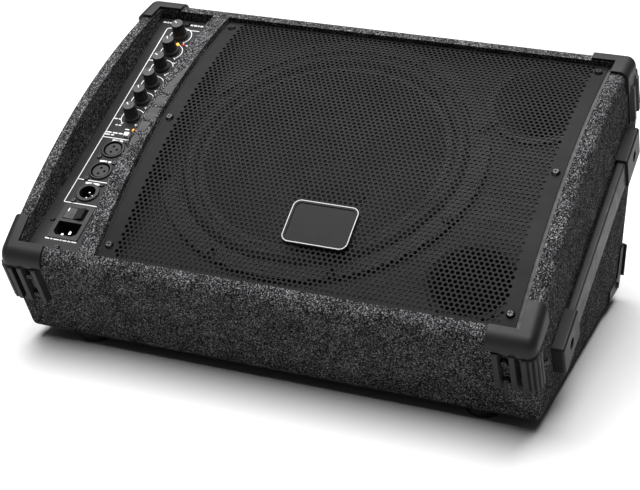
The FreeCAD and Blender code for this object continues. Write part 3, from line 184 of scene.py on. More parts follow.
class Finish:
    """One material. Each method adds a texture or a step and gives back its output."""

    def __init__(self, name, colour, roughness, sockets=None):
        self.material = bpy.data.materials.new(name)
        self.material.use_nodes = True
        self.tree = self.material.node_tree
        self.shader = self.tree.nodes["Principled BSDF"]
        self.place = self.tree.nodes.new("ShaderNodeTexCoord").outputs["Object"]
        self.normal = None
        self.shader.inputs["Base Color"].default_value = (*colour, 1.0)
        self.shader.inputs["Roughness"].default_value = roughness
        for socket, value in (sockets or {}).items():
            self.shader.inputs[socket].default_value = value

    def node(self, kind, **settings):
        made = self.tree.nodes.new(kind)
        for key, value in settings.items():
            setattr(made, key, value)
        return made

    def feed(self, source, socket):
        self.tree.links.new(source, socket)

    def mapped(self, scale=(1, 1, 1), turn=(0, 0, 0), centre=(0, 0, 0)):
        """Object coordinates moved so that centre is zero, then turned and stretched."""
        shift = self.node("ShaderNodeMapping", vector_type="POINT")
        self.feed(self.place, shift.inputs["Vector"])
        shift.inputs["Location"].default_value = tuple(-c for c in centre)
        stretch = self.node("ShaderNodeMapping", vector_type="POINT")
        self.feed(shift.outputs[0], stretch.inputs["Vector"])
        stretch.inputs["Rotation"].default_value = turn
        stretch.inputs["Scale"].default_value = scale
        return stretch.outputs[0]

    def noise(self, size, detail=2.0, rough=0.5, vector=None, distortion=0.0):
        """Soft noise whose spots are about size metres across."""
        made = self.node("ShaderNodeTexNoise")
        self.feed(vector or self.place, made.inputs["Vector"])
        made.inputs["Scale"].default_value = 1.0 / size
        made.inputs["Detail"].default_value = detail
        made.inputs["Roughness"].default_value = rough
        made.inputs["Distortion"].default_value = distortion
        return made.outputs["Fac"]

    def cells(self, size):
        """Distance from the middles of small cells."""
        made = self.node("ShaderNodeTexVoronoi")
        self.feed(self.place, made.inputs["Vector"])
        made.inputs["Scale"].default_value = 1.0 / size
        return made.outputs["Distance"]

    def wave(self, size, vector, distortion, **settings):
        """Rings or bands that repeat every size metres."""
        made = self.node("ShaderNodeTexWave", **settings)
        self.feed(vector, made.inputs["Vector"])
        made.inputs["Scale"].default_value = WAVE_PERIOD / size
        made.inputs["Distortion"].default_value = distortion
        return made.outputs["Fac"]

    def rings(self, size, vector, distortion):
        return self.wave(size, vector, distortion, wave_type="RINGS", rings_direction="Z")

    def bands(self, size, vector, distortion, direction):
        return self.wave(size, vector, distortion, wave_type="BANDS", bands_direction=direction)

    def level(self, source, low, high, to_low=0.0, to_high=1.0):
        """The range low to high of source, stretched to another range and held at its ends."""
        made = self.node("ShaderNodeMapRange")
        self.feed(source, made.inputs["Value"])
        for key, value in zip(("From Min", "From Max", "To Min", "To Max"), (low, high, to_low, to_high)):
            made.inputs[key].default_value = value
        return made.outputs["Result"]

    def sum(self, first, second, operation="ADD"):
        """Sum of two outputs or numbers, or another operation on them."""
        made = self.node("ShaderNodeMath", operation=operation)
        for index, value in enumerate((first, second)):
            if isinstance(value, (int, float)):
                made.inputs[index].default_value = value
            else:
                self.feed(value, made.inputs[index])
        return made.outputs[0]

    def ramp(self, source, stops):
        """Colours along a value: stops are (place, colour)."""
        made = self.node("ShaderNodeValToRGB")
        bar = made.color_ramp
        while len(bar.elements) < len(stops):
            bar.elements.new(0.5)
        for element, (place, colour) in zip(bar.elements, stops):
            element.position = place
            element.color = (*colour, 1.0)
        self.feed(source, made.inputs["Fac"])
        return made.outputs["Color"]

    def mixed(self, factor, first, second):
        """Colour between first and second, each an output or a colour."""
        made = self.node("ShaderNodeMix", data_type="RGBA")
        for socket, value in ((made.inputs[6], first), (made.inputs[7], second)):
            if isinstance(value, bpy.types.NodeSocket):
                self.feed(value, socket)
            else:
                socket.default_value = (*value, 1.0)
        self.feed(factor, made.inputs[0])
        return made.outputs[2]

    def colour(self, source):
        self.feed(source, self.shader.inputs["Base Color"])

    def gloss(self, source, low, high):
        """Roughness that varies between low and high with source."""
        self.feed(self.level(source, 0.3, 0.7, low, high), self.shader.inputs["Roughness"])

    def bump(self, height, distance, strength=1.0):
        made = self.node("ShaderNodeBump")
        made.inputs["Strength"].default_value = strength
        made.inputs["Distance"].default_value = distance
        self.feed(height, made.inputs["Height"])
        if self.normal is not None:
            self.feed(self.normal, made.inputs["Normal"])
        self.normal = made.outputs["Normal"]
        self.feed(self.normal, self.shader.inputs["Normal"])

    def edges(self, radius):
        """Rounds the look of moulded edges, and gives a mask that is 1 along them."""
        soft = self.node("ShaderNodeBevel", samples=4)
        soft.inputs["Radius"].default_value = radius
        self.normal = soft.outputs["Normal"]
        self.feed(self.normal, self.shader.inputs["Normal"])
        plain = self.node("ShaderNodeNewGeometry").outputs["Normal"]
        dot = self.node("ShaderNodeVectorMath", operation="DOT_PRODUCT")
        self.feed(plain, dot.inputs[0])
        self.feed(soft.outputs["Normal"], dot.inputs[1])
        return self.level(dot.outputs["Value"], 0.985, 0.86, 0.0, 1.0)


def carpet_finish(settings):
    """Needle-punched carpet: a black ground with short pale fibres over it."""
    made = Finish("carpet", settings.dark, 0.95, {"Sheen Weight": 0.01, "Sheen Roughness": 0.6,
                                                  "Specular IOR Level": 0.02})
    size = settings.fleck
    one = made.noise(size, 2.5, 0.62, made.mapped((1.0, 0.72, 0.72), (0.3, 0.5, 0.4)), 0.9)
    two = made.noise(size * 0.62, 2.0, 0.6, made.mapped((0.7, 1.0, 1.0), (1.1, 0.2, 0.8)), 0.6)
    wide = made.noise(size * 13.0, 2.0)
    flecks = made.sum(made.sum(one, two), made.level(wide, 0.3, 0.7, -0.035, 0.035))
    grey = times(settings.light, 0.24)
    made.colour(made.ramp(made.level(flecks, 0.78, 1.28), [
        (0.0, settings.dark), (0.36, times(settings.dark, 2.2)), (0.62, grey),
        (0.96, settings.light)]))
    made.bump(flecks, settings.pile, 0.9)
    return made.material


def plywood_finish(dark=False):
    """Birch plywood with long grain; the dark one is black, for the baffle behind the grille and for the
    front board, the divider and the battens.
    """
    pale, deep = ((0.50, 0.35, 0.20), (0.33, 0.21, 0.11))
    if dark:
        pale, deep = ((0.012, 0.012, 0.012), (0.006, 0.006, 0.006))
    made = Finish("plywood_black" if dark else "plywood", pale, 0.7)
    grain = made.noise(0.010, 6.0, 0.6, made.mapped((0.06, 1.0, 1.0)), 0.4)
    plies = made.bands(0.0016, made.mapped(turn=(-FACE_TILT, 0.0, 0.0)), 1.5, "Z")
    both = made.sum(grain, made.sum(plies, 0.15, "MULTIPLY"))
    made.colour(made.ramp(both, [(0.35, deep), (0.75, pale)]))
    made.gloss(grain, 0.6, 0.8)
    made.bump(grain, 0.0002, 0.6)
    return made.material


def moulded_finish(name, colour, roughness, edge, grain=0.0006, relief=0.00006, wear_and_highlight=1.9):
    """Moulded plastic: fine spark-eroded grain, and rounded edges and creases painted paler in patches,
    partly as rubbed wear and partly as a painted highlight.
    """
    made = Finish(name, colour, roughness, {"Specular IOR Level": 0.22})
    rim = made.edges(edge)
    cloud = made.noise(0.018, 3.0)
    scuffs = made.noise(0.004, 4.0, 0.7, made.mapped((0.25, 1.0, 1.0), (0.2, 0.1, 0.6)))
    # Paler colour along edges and creases: partly rubbed wear, partly a painted highlight where light would
    # catch the edges.
    rubbed_and_highlit = tuple(min(1.0, wear_and_highlight * c + 0.004) for c in colour)
    tone = made.mixed(made.level(cloud, 0.35, 0.65), times(colour, 0.86),
                      times(colour, 1.14))
    made.colour(made.mixed(made.sum(rim, made.level(scuffs, 0.35, 0.6), "MULTIPLY"), tone, rubbed_and_highlit))
    made.gloss(made.sum(cloud, made.sum(scuffs, 0.4, "MULTIPLY")), roughness - 0.06, roughness + 0.12)
    made.bump(made.noise(grain, 2.0, 0.6), relief, 0.8)
    return made.material


def rubber_finish(name, colour, grain=0.0009):
    """Soft rubber: matt, with a faint bloom and a fine moulded skin."""
    made = Finish(name, colour, 0.55, {"Specular IOR Level": 0.35, "Sheen Weight": 0.05})
    bloom = made.noise(0.012, 4.0, 0.6)
    made.colour(made.mixed(made.level(bloom, 0.35, 0.7), colour, tuple(1.7 * c + 0.002 for c in colour)))
    made.gloss(bloom, 0.46, 0.66)
    made.bump(made.cells(grain), 0.00005, 0.7)
    return made.material


ORANGE_PEEL = 0.00007


def paint_finish(name, colour, roughness, grain=0.0011):
    """Powder coating: an even colour over a fine orange-peel skin."""
    made = Finish(name, colour, roughness, {"Specular IOR Level": 0.07})
    cloud = made.noise(0.03, 2.0)
    made.colour(made.mixed(made.level(cloud, 0.35, 0.65), times(colour, 0.9),
                           times(colour, 1.12)))
    made.gloss(cloud, roughness - 0.05, roughness + 0.07)
    made.bump(made.noise(grain, 3.0, 0.55), ORANGE_PEEL, 0.7)
    return made.material


def metal_finish(name, colour, roughness, brushed=(1.0, 0.06, 1.0), tarnish=0.35):
    """Bare or plated metal with brushed lines and a little tarnish."""
    made = Finish(name, colour, roughness, {"Metallic": 1.0})
    lines = made.noise(0.0008, 3.0, 0.6, made.mapped(brushed, (-FACE_TILT, 0.0, 0.0)))
    dull = made.noise(0.006, 4.0, 0.65)
    made.colour(made.mixed(made.level(dull, 0.45, 0.75, 0.0, tarnish), colour,
                           times(colour, 0.45)))
    made.gloss(dull, roughness - 0.07, roughness + 0.15)
    made.bump(lines, 0.00003, 0.5)
    return made.material


def paper_finish(name, colour, centre):
    """Pressed paper pulp with faint rings round its middle."""
    made = Finish(name, colour, 0.85, {"Specular IOR Level": 0.25})
    around = made.mapped(turn=(-FACE_TILT, 0.0, 0.0), centre=centre)
    pulp = made.noise(0.0016, 5.0, 0.7)
    ring = made.rings(0.0042, around, 0.6)
    made.colour(made.mixed(made.level(pulp, 0.3, 0.7), times(colour, 0.7),
                           times(colour, 1.5)))
    made.bump(pulp, 0.00012, 0.7)
    made.bump(ring, 0.00025, 0.5)
    return made.material


def cloth_finish(name, colour, size, centre=(0.0, 0.0, 0.0)):
    """Plain woven cloth, stiffened with resin."""
    made = Finish(name, colour, 0.8, {"Sheen Weight": 0.15})
    flat = made.mapped(turn=(-FACE_TILT, 0.0, 0.0), centre=centre)
    weave = made.sum(made.bands(size, flat, 0.3, "X"), made.bands(size, flat, 0.3, "Y"), "MULTIPLY")
    patches = made.noise(0.008, 3.0)
    made.colour(made.mixed(made.sum(weave, patches, "MULTIPLY"), times(colour, 0.5),
                           tuple(min(1.0, 1.5 * c) for c in colour)))
    made.bump(weave, size * 0.3, 0.8)
    return made.material


def wadding_finish():
    """Loose polyester wadding, off white, with long soft fibres."""
    made = Finish("wadding", (0.55, 0.54, 0.50), 0.95, {"Sheen Weight": 0.5, "Sheen Roughness": 0.5})
    fibres = made.noise(0.0022, 5.0, 0.7, made.mapped((0.3, 1.0, 1.4), (0.3, 0.2, 0.5)), 1.2)
    tufts = made.noise(0.018, 3.0)
    made.colour(made.mixed(made.sum(fibres, tufts, "MULTIPLY"), (0.38, 0.37, 0.34), (0.78, 0.77, 0.73)))
    made.bump(fibres, 0.0010, 0.9)
    made.bump(tufts, 0.0025, 0.6)
    return made.material


def badge_finish():
    """Black enamel plate with a thin pale metal line inside its rim."""
    made = Finish("badge_plate", (0.006, 0.006, 0.0065), 0.4, {"Specular IOR Level": 0.06})
    middle = tuple(face(BADGE_MIDDLE[0], BADGE_MIDDLE[1], -4.0))
    split = made.node("ShaderNodeSeparateXYZ")
    made.feed(made.mapped(turn=(-FACE_TILT, 0.0, 0.0), centre=middle), split.inputs[0])
    past = []
    for axis, half in enumerate(BADGE_HALF):
        away = made.sum(split.outputs[axis], 0.0, "ABSOLUTE")
        reach = made.sum(away, MM * (half - BADGE_ROUND), "SUBTRACT")
        past.append(made.sum(made.sum(reach, 0.0, "MAXIMUM"), 2.0, "POWER"))
    rim = made.sum(made.sum(past[0], past[1]), 0.5, "POWER")
    line = made.sum(made.level(rim, MM * (BADGE_ROUND - 1.5), MM * (BADGE_ROUND - 1.4)),
                    made.level(rim, MM * (BADGE_ROUND - 0.7), MM * (BADGE_ROUND - 0.8)), "MULTIPLY")
    cloud = made.noise(0.006, 3.0)
    made.colour(made.mixed(line, made.mixed(cloud, (0.005, 0.005, 0.005), (0.009, 0.009, 0.01)),
                           (0.42, 0.43, 0.44)))
    made.gloss(cloud, 0.36, 0.46)
    made.bump(made.noise(0.0006, 2.0), 0.00001, 0.5)
    return made.material


def lens_finish(name, colour, glow):
    """Tinted lamp lens; a lit one glows from inside."""
    made = Finish(name, colour, 0.16, {"Coat Weight": 0.6, "IOR": 1.5, "Emission Strength": glow})
    made.shader.inputs["Emission Color"].default_value = (*colour, 1.0)
    made.shader.inputs["Subsurface Weight"].default_value = 0.2
    made.shader.inputs["Subsurface Radius"].default_value = (0.001, 0.0006, 0.0003)
    haze = made.noise(0.0012, 2.0)
    made.colour(made.mixed(made.level(haze, 0.3, 0.7), times(colour, 0.8), colour))
    made.bump(haze, 0.00002, 0.4)
    return made.material


def ink_finish(colour):
    """Screen-printed ink: slightly uneven cover and a dry edge."""
    made = Finish("print_ink", colour, 0.6)
    cover = made.noise(0.0016, 4.0, 0.7)
    made.colour(made.mixed(made.level(cover, 0.25, 0.55), times(colour, 0.72), colour))
    made.bump(cover, 0.00002, 0.5)
    return made.material


def board_finish():
    """Green circuit board: glass weave under resin, with darker tracks."""
    made = Finish("board_resin", (0.01, 0.09, 0.035), 0.3, {"Coat Weight": 0.4})
    flat = made.mapped(turn=(-FACE_TILT, 0.0, 0.0))
    weave = made.sum(made.bands(0.0009, flat, 0.0, "X"), made.bands(0.0009, flat, 0.0, "Y"))
    tracks = made.bands(0.0045, flat, 4.0, "X")
    made.colour(made.mixed(made.level(tracks, 0.7, 0.8), (0.008, 0.075, 0.03), (0.02, 0.15, 0.06)))
    made.bump(weave, 0.00003, 0.4)
    return made.material


def wear_finish(nodes, material):
    """Gives CAD nodes one material."""
    for name in nodes:
        mesh = frame["nodes"][name].data
        mesh.materials.clear()
        mesh.materials.append(material)


# ---------------------------------------------------------------- shaping helpers
def deselect_all():
    for found in list(bpy.context.selected_objects):
        found.select_set(False)


def select_only(obj):
    deselect_all()
    obj.select_set(True)
    bpy.context.view_layer.objects.active = obj


def linked(name, data):
    """A new object in the scene around a mesh, a light or a camera."""
    obj = bpy.data.objects.new(name, data)
    bpy.context.scene.collection.objects.link(obj)
    return obj


def settle(obj, material, smooth=30.0):
    """Puts the piece's place into its mesh, gives it its material and smooths it by angle."""
    select_only(obj)
    bpy.ops.object.transform_apply(location=True, rotation=True, scale=True)
    obj.data.materials.clear()
    obj.data.materials.append(material)
    bpy.ops.object.shade_smooth_by_angle(angle=math.radians(smooth))
    deselect_all()
    return obj


def apply_modifier(obj, kind, **settings):
    """Adds one modifier and applies it at once."""
    select_only(obj)
    made = obj.modifiers.new(kind.lower(), kind)
    for key, value in settings.items():
        setattr(made, key, value)
    bpy.ops.object.modifier_apply(modifier=made.name)


def add_cube(name, centre, size):
    """Cube that stands square to the sloping face; centre and size in millimetres."""
    deselect_all()
    bpy.ops.mesh.primitive_cube_add(size=1.0, location=face(*centre), rotation=(FACE_TILT, 0.0, 0.0),
                                    scale=[MM * s for s in size])
    obj = bpy.context.object
    obj.name = name
    obj.data.name = name
    bpy.ops.object.transform_apply(location=True, rotation=True, scale=True)
    return obj


def add_block(name, centre, size, rounding, material, segments):
    """Rounded block on the sloping face, in millimetres."""
    obj = add_cube(name, centre, size)
    apply_modifier(obj, "BEVEL", width=MM * rounding, segments=segments, limit_method="ANGLE")
    return settle(obj, material)


def mesh_piece(name, points, faces, material):
    """A piece from points in the frame's metres and faces."""
    mesh = bpy.data.meshes.new(name)
    mesh.from_pydata([tuple(p) for p in points], [], faces)
    mesh.update()
    return settle(linked(name, mesh), material)


def spun_piece(name, profile, centre, material, steps):
    """Closed outline of (radius, z) points spun about the line through centre that points OUT."""
    mesh = bpy.data.meshes.new(name)
    count = len(profile)
    points = [face(centre[0] + r, centre[1], z) for r, z in profile]
    mesh.from_pydata([tuple(p) for p in points], [(i, (i + 1) % count) for i in range(count)], [])
    obj = linked(name, mesh)
    select_only(obj)
    bpy.ops.object.mode_set(mode="EDIT")
    bpy.ops.mesh.select_all(action="SELECT")
    bpy.ops.mesh.spin(steps=steps, angle=2.0 * math.pi, center=face(centre[0], centre[1], 0.0), axis=OUT)
    bpy.ops.mesh.select_all(action="SELECT")
    bpy.ops.mesh.remove_doubles(threshold=WELD)
    bpy.ops.mesh.normals_make_consistent(inside=False)
    bpy.ops.object.mode_set(mode="OBJECT")
    return settle(obj, material, 40.0)


# ---------------------------------------------------------------- case
BOARDS = ["side_panel_left", "side_panel_right", "bottom_board", "rear_board", "top_board"]
# The front board's black is what shows in the carpet seam's slot and makes the slot dark.
BLACK_BOARDS = ["front_board", "baffle_board", "divider_board", "mounting_battens"]
PROTECTORS = [f"protector_{where}_{side}" for where in ("front", "top", "rear")
              for side in ("right", "left")]

# The wadding pads, in metres: the voxels that round them, how far their surface is drawn in,
# how far it rolls, and how close its rolls are.
PAD_VOXEL = 0.004
PAD_INSET = 0.0011
PAD_ROLL = 0.0009
ROLLS_ALONG, ROLLS_ACROSS = 95.0, 120.0
PAD_SHRINK = 0.995


class WEDGE_OT_case(Operator):
    """Finish the plywood case, its carpet, its screws and its rubber feet"""

    bl_idname = "wedge.case"
    bl_label = "Case and carpet"

    def execute(self, context):
        settings = context.scene.wedge
        wear_finish(BOARDS, plywood_finish())
        wear_finish(BLACK_BOARDS, plywood_finish(dark=True))
        wear_finish(["carpet_covering"], carpet_finish(settings.carpet))
        screw = metal_finish("screw_black", (0.045, 0.045, 0.047), 0.34, tarnish=0.5)
        wear_finish(["cabinet_screws", "grille_screws", "panel_screws", "driver_screws"], screw)
        wear_finish(["rubber_feet"], rubber_finish("foot_rubber", settings.plastic.rubber))
        return {"FINISHED"}


class WEDGE_OT_protectors(Operator):
    """Finish the six corner protectors in grained black plastic"""

    bl_idname = "wedge.protectors"
    bl_label = "Corner protectors"

    def execute(self, context):
        settings = context.scene.wedge.plastic
        # The protectors' edges are painted paler by the default factor: partly wear, partly a painted
        # highlight that brightens the caps.
        material = moulded_finish("protector_plastic", settings.protector, 0.40, settings.edge)
        wear_finish(PROTECTORS, material)
        return {"FINISHED"}


class WEDGE_OT_wadding(Operator):
    """Replace the plain wadding pads with soft, quilted ones"""

    bl_idname = "wedge.wadding"
    bl_label = "Wadding"

    def execute(self, context):
        source = frame["nodes"]["damping_pads"].data
        graph = bmesh.new()
        graph.from_mesh(source)
        bmesh.ops.remove_doubles(graph, verts=graph.verts, dist=0.05 * MM)
        mesh = bpy.data.meshes.new("wadding_source")
        graph.to_mesh(mesh)
        graph.free()
        select_only(linked("wadding_source", mesh))
        bpy.ops.object.mode_set(mode="EDIT")
        bpy.ops.mesh.select_all(action="SELECT")
        bpy.ops.mesh.separate(type="LOOSE")
        bpy.ops.object.mode_set(mode="OBJECT")
        pads = sorted(context.selected_objects, key=lambda o: sum(v.co.y for v in o.data.vertices)
                      / len(o.data.vertices))
        material = wadding_finish()
        for pad, name in zip(pads, ("wadding_bottom", "wadding_rear")):
            self.quilt(pad, name, material)
        return {"FINISHED"}

    def quilt(self, pad, name, material):
        pad.name = name
        pad.data.name = name
        apply_modifier(pad, "REMESH", mode="VOXEL", voxel_size=PAD_VOXEL)
        low = Vector([min(v.co[i] for v in pad.data.vertices) for i in range(3)])
        high = Vector([max(v.co[i] for v in pad.data.vertices) for i in range(3)])
        centre = (low + high) / 2.0
        pad.data.update()
        for vertex in pad.data.vertices:
            place = vertex.co
            roll = math.sin(place.x * ROLLS_ALONG) * math.sin((place.y + place.z) * ROLLS_ACROSS)
            vertex.co = place - vertex.normal * (PAD_INSET + PAD_ROLL * roll)
            vertex.co = centre + (vertex.co - centre) * PAD_SHRINK
        apply_modifier(pad, "SMOOTH", factor=0.5, iterations=6)
        apply_modifier(pad, "SUBSURF", levels=1, render_levels=1)
        settle(pad, material, 180.0)
        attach(pad, "cabinet")
        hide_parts("damping_pads")


# ---------------------------------------------------------------- grille
GRILLE_EDGES = (-159.5, 233.0)
HOLES_FROM, HOLES_TO = -146.0, 220.0
GRILLE_HALF = 163.2
HOLE_SIDES = 8


def on_sheet(x, along):
    """Point of the curved sheet: x across, along its arc from the middle, in millimetres."""
    angle = along / GRILLE_RADIUS
    return face(x, GRILLE_RADIUS * math.sin(angle), GRILLE_RADIUS * math.cos(angle) - GRILLE_RADIUS)


def row_start(row, pitch):
    """Where a row of holes starts: every other row is half a pitch further on."""
    return HOLES_FROM + (pitch / 2.0 if row % 2 else 0.0)


def zipped(outer, inner):
    """Triangles between two rings of (angle, index), both sorted by angle."""
    triangles = []
    i, j = 0, 0
    while i < len(outer) or j < len(inner):
        next_outer = outer[(i + 1) % len(outer)][0] + 2 * math.pi * ((i + 1) // len(outer))
        next_inner = inner[(j + 1) % len(inner)][0] + 2 * math.pi * ((j + 1) // len(inner))
        a, b = outer[i % len(outer)][1], inner[j % len(inner)][1]
        if j >= len(inner) or (i < len(outer) and next_outer <= next_inner):
            triangles.append((a, outer[(i + 1) % len(outer)][1], b))
            i += 1
        else:
            triangles.append((a, inner[(j + 1) % len(inner)][1], b))
            j += 1
    return triangles


class SheetMesh:
    """Collects the faces of the flat sheet, joining points that fall together."""

    def __init__(self):
        self.places = {}
        self.faces = []

    def point(self, x, along):
        key = (round(x, 3), round(along, 3))
        return self.places.setdefault(key, len(self.places))

    def face(self, corners):
        face_points = [self.point(*corner) for corner in corners]
        if len(set(face_points)) == len(face_points):
            self.faces.append(face_points)

    def points(self):
        return [on_sheet(*place) for place in self.places]


class WEDGE_OT_grille(Operator):
    """Make the curved grille with its staggered round holes"""

    bl_idname = "wedge.grille"
    bl_label = "Grille"

    def execute(self, context):
        settings = context.scene.wedge.grille
        pitch, hole = settings.pitch / MM, settings.hole / MM / 2.0
        row_step = pitch * math.sqrt(3.0) / 2.0
        half = GRILLE_RADIUS * math.asin(GRILLE_HALF / GRILLE_RADIUS)
        tip = pitch / math.sqrt(3.0)
        rows = int((half - tip) / row_step)
        columns = int((HOLES_TO - HOLES_FROM) / pitch)
        split = columns // 2
        material = paint_finish("grille_paint", settings.paint, 0.55)
        for name, first, last in (("grille_sheet_left", 0, split), ("grille_sheet_right", split, columns)):
            sheet = SheetMesh()
            for row in range(-rows, rows + 1):
                start = row_start(row, pitch)
                for column in range(first, last):
                    centre = (start + pitch * (column + 0.5), row * row_step)
                    self.cell(sheet, centre, tip, hole)
                outside = GRILLE_EDGES[0] if first == 0 else GRILLE_EDGES[1]
                inside = start + pitch * (first if first == 0 else last)
                next_inside = row_start(row + 1, pitch) + pitch * (first if first == 0 else last)
                low, high = row * row_step - tip / 2, row * row_step + tip / 2
                side = [[(outside, low), (inside, low), (inside, high), (outside, high)]]
                if row < rows:
                    above = (row + 1) * row_step - tip / 2
                    side.append([(outside, high), (inside, high), (next_inside, above), (outside, above)])
                for corners in side:
                    sheet.face(corners if first == 0 else corners[::-1])
            self.margins(sheet, first, last, rows, row_step, pitch, tip, half)
            obj = mesh_piece(name, sheet.points(), sheet.faces, material)
            self.check_direction(obj)
            apply_modifier(obj, "SOLIDIFY", thickness=settings.sheet, offset=-1.0, use_even_offset=False)
            settle(obj, material)
            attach(obj, "cabinet")
            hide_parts("grille")
        wear_finish(["badge"], badge_finish())
        return {"FINISHED"}

    def cell(self, sheet, centre, tip, hole):
        """One hexagon of sheet with its round hole."""
        ring = [(math.radians(30 + 60 * i), tip) for i in range(6)]
        round_ring = [(math.radians(22.5 + 45 * i), hole) for i in range(HOLE_SIDES)]
        place = {}
        for kind, corners in (("outer", ring), ("inner", round_ring)):
            place[kind] = [(angle, (centre[0] + radius * math.cos(angle),
                                    centre[1] + radius * math.sin(angle))) for angle, radius in corners]
        for triangle in zipped(place["outer"], place["inner"]):
            sheet.face(triangle)

    def margins(self, sheet, first, last, rows, row_step, pitch, tip, half):
        """Solid strips past the top and bottom rows of holes."""
        for sign, row in ((1, rows), (-1, -rows)):
            start = row_start(row, pitch)
            edge, base = sign * half, row * row_step
            shoulder = base + sign * tip / 2
            chain = []
            for column in range(first, last):
                middle = start + pitch * (column + 0.5)
                chain += [(middle - pitch / 2, shoulder), (middle, base + sign * tip)]
            chain.append((start + pitch * last, shoulder))
            outside = GRILLE_EDGES[0] if first == 0 else GRILLE_EDGES[1]
            chain = [(outside, shoulder)] + chain if first == 0 else chain + [(outside, shoulder)]
            for (x0, y0), (x1, y1) in zip(chain, chain[1:]):
                corners = [(x0, y0), (x1, y1), (x1, edge), (x0, edge)]
                sheet.face(corners if sign > 0 else corners[::-1])

    def check_direction(self, obj):
        """Stops if the flat sheet doesn't face outwards."""
        wrong = sum(1 for polygon in obj.data.polygons if polygon.normal.dot(OUT) < 0)
        if wrong:
            raise RuntimeError(f"{obj.name} has {wrong} faces that point inwards")


# ---------------------------------------------------------------- handle strap
STRAP_ENDS = (-102.5, 112.5)
STRAP_MIDDLE = 5.0
STRAP_Z = -93.0
STRAP_INSET = (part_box("handle_grip")[0][0] - FACE_ORIGIN.x) / MM
STRAP_SIZE = (8.0, 29.0)
STRAP_MOUTH, STRAP_BLEND = 17.0, 80.0
STRAP_ROUND, STRAP_STEP = 2.4, 2.0


class WEDGE_OT_handle(Operator):
    """Make the rubber strap in two halves that bend between its end caps"""

    bl_idname = "wedge.handle"
    bl_label = "Strap handle"

    def execute(self, context):
        settings = context.scene.wedge.plastic
        rubber = rubber_finish("strap_rubber", settings.rubber, 0.0013)
        wear_finish(["handle_caps"], moulded_finish("handle_plastic", settings.protector, 0.36,
                                                    settings.edge))
        for name, end in (("strap_lower", STRAP_ENDS[0]), ("strap_upper", STRAP_ENDS[1])):
            obj = self.half(name, end, rubber)
            inward = 1.0 if end < STRAP_MIDDLE else -1.0
            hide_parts("handle_grip", "handle_strap_ends")
            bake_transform(obj, "cabinet", "handle_strap",
                     start=face(0.0, end + inward * STRAP_MOUTH, STRAP_Z),
                     end=face(0.0, end + inward * STRAP_BLEND, STRAP_Z))
        return {"FINISHED"}

    def half(self, name, end, material):
        """One half of the strap: a bar with rounded edges, cut into short steps so that it bends."""
        length = abs(end - STRAP_MIDDLE)
        thick, width = STRAP_SIZE
        centre = (STRAP_INSET + thick / 2, (end + STRAP_MIDDLE) / 2, STRAP_Z)
        obj = add_cube(name, centre, (thick, length, width))
        graph = bmesh.new()
        graph.from_mesh(obj.data)
        bmesh.ops.bevel(graph, geom=self.along(graph), offset=STRAP_ROUND * MM, segments=5, profile=0.6,
                        affect="EDGES")
        bmesh.ops.subdivide_edges(graph, edges=self.along(graph), cuts=int(length / STRAP_STEP),
                                  use_grid_fill=True)
        graph.to_mesh(obj.data)
        graph.free()
        return settle(obj, material, 40.0)

    def along(self, graph):
        """The edges that run along the strap."""
        return [e for e in graph.edges if abs((e.verts[0].co - e.verts[1].co).normalized().dot(UP)) > 0.9]


# ---------------------------------------------------------------- loudspeakers
SURROUND_INNER, SURROUND_OUTER = 115.2, 140.8
ROLL_INNER, ROLL_OUTER = 120.5, 137.5
ROLL_RISE = 6.6
SURROUND_WALL, SURROUND_GAP = 1.0, 0.05
SPIDER_INNER, SPIDER_OUTER = 32.6, 82.0
SPIDER_WAVES = 6
SPIDER_RISE = 1.6
SPIDER_WALL = 0.7


def thin_ring(inner, outer, count, wall, height):
    """Closed outline of a thin ring whose underside is at height(radius)."""
    under = []
    for i in range(count + 1):
        radius = inner + (outer - inner) * i / count
        under.append((radius, height(radius)))
    return [(radius, z + wall) for radius, z in under] + under[::-1]


def radial_blend(obj, centre, inner, outer):
    """Weights that run from the fixed outer rim to the moving inner one."""
    middle = face(centre[0], centre[1], 0.0)
    weights = obj.data.attributes["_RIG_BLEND"].data
    for vertex, weight in zip(obj.data.vertices, weights):
        arm = vertex.co - middle
        radius = (arm - arm.dot(OUT) * OUT).length / MM
        share = min(1.0, max(0.0, (outer - radius) / (outer - inner)))
        weight.value = share * share * (3.0 - 2.0 * share)


def moving_ring(name, profile, node, material, inner, outer, steps):
    """A ring that is fixed at its outer rim and moves with the cone at its inner one."""
    obj = spun_piece(name, profile, WOOFER, material, steps)
    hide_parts(node)
    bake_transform(obj, "cabinet", "cone_assembly", start=face(0.0, 0.0, -outer), end=face(0.0, 0.0, 0.0))
    radial_blend(obj, WOOFER, inner, outer)
    return obj


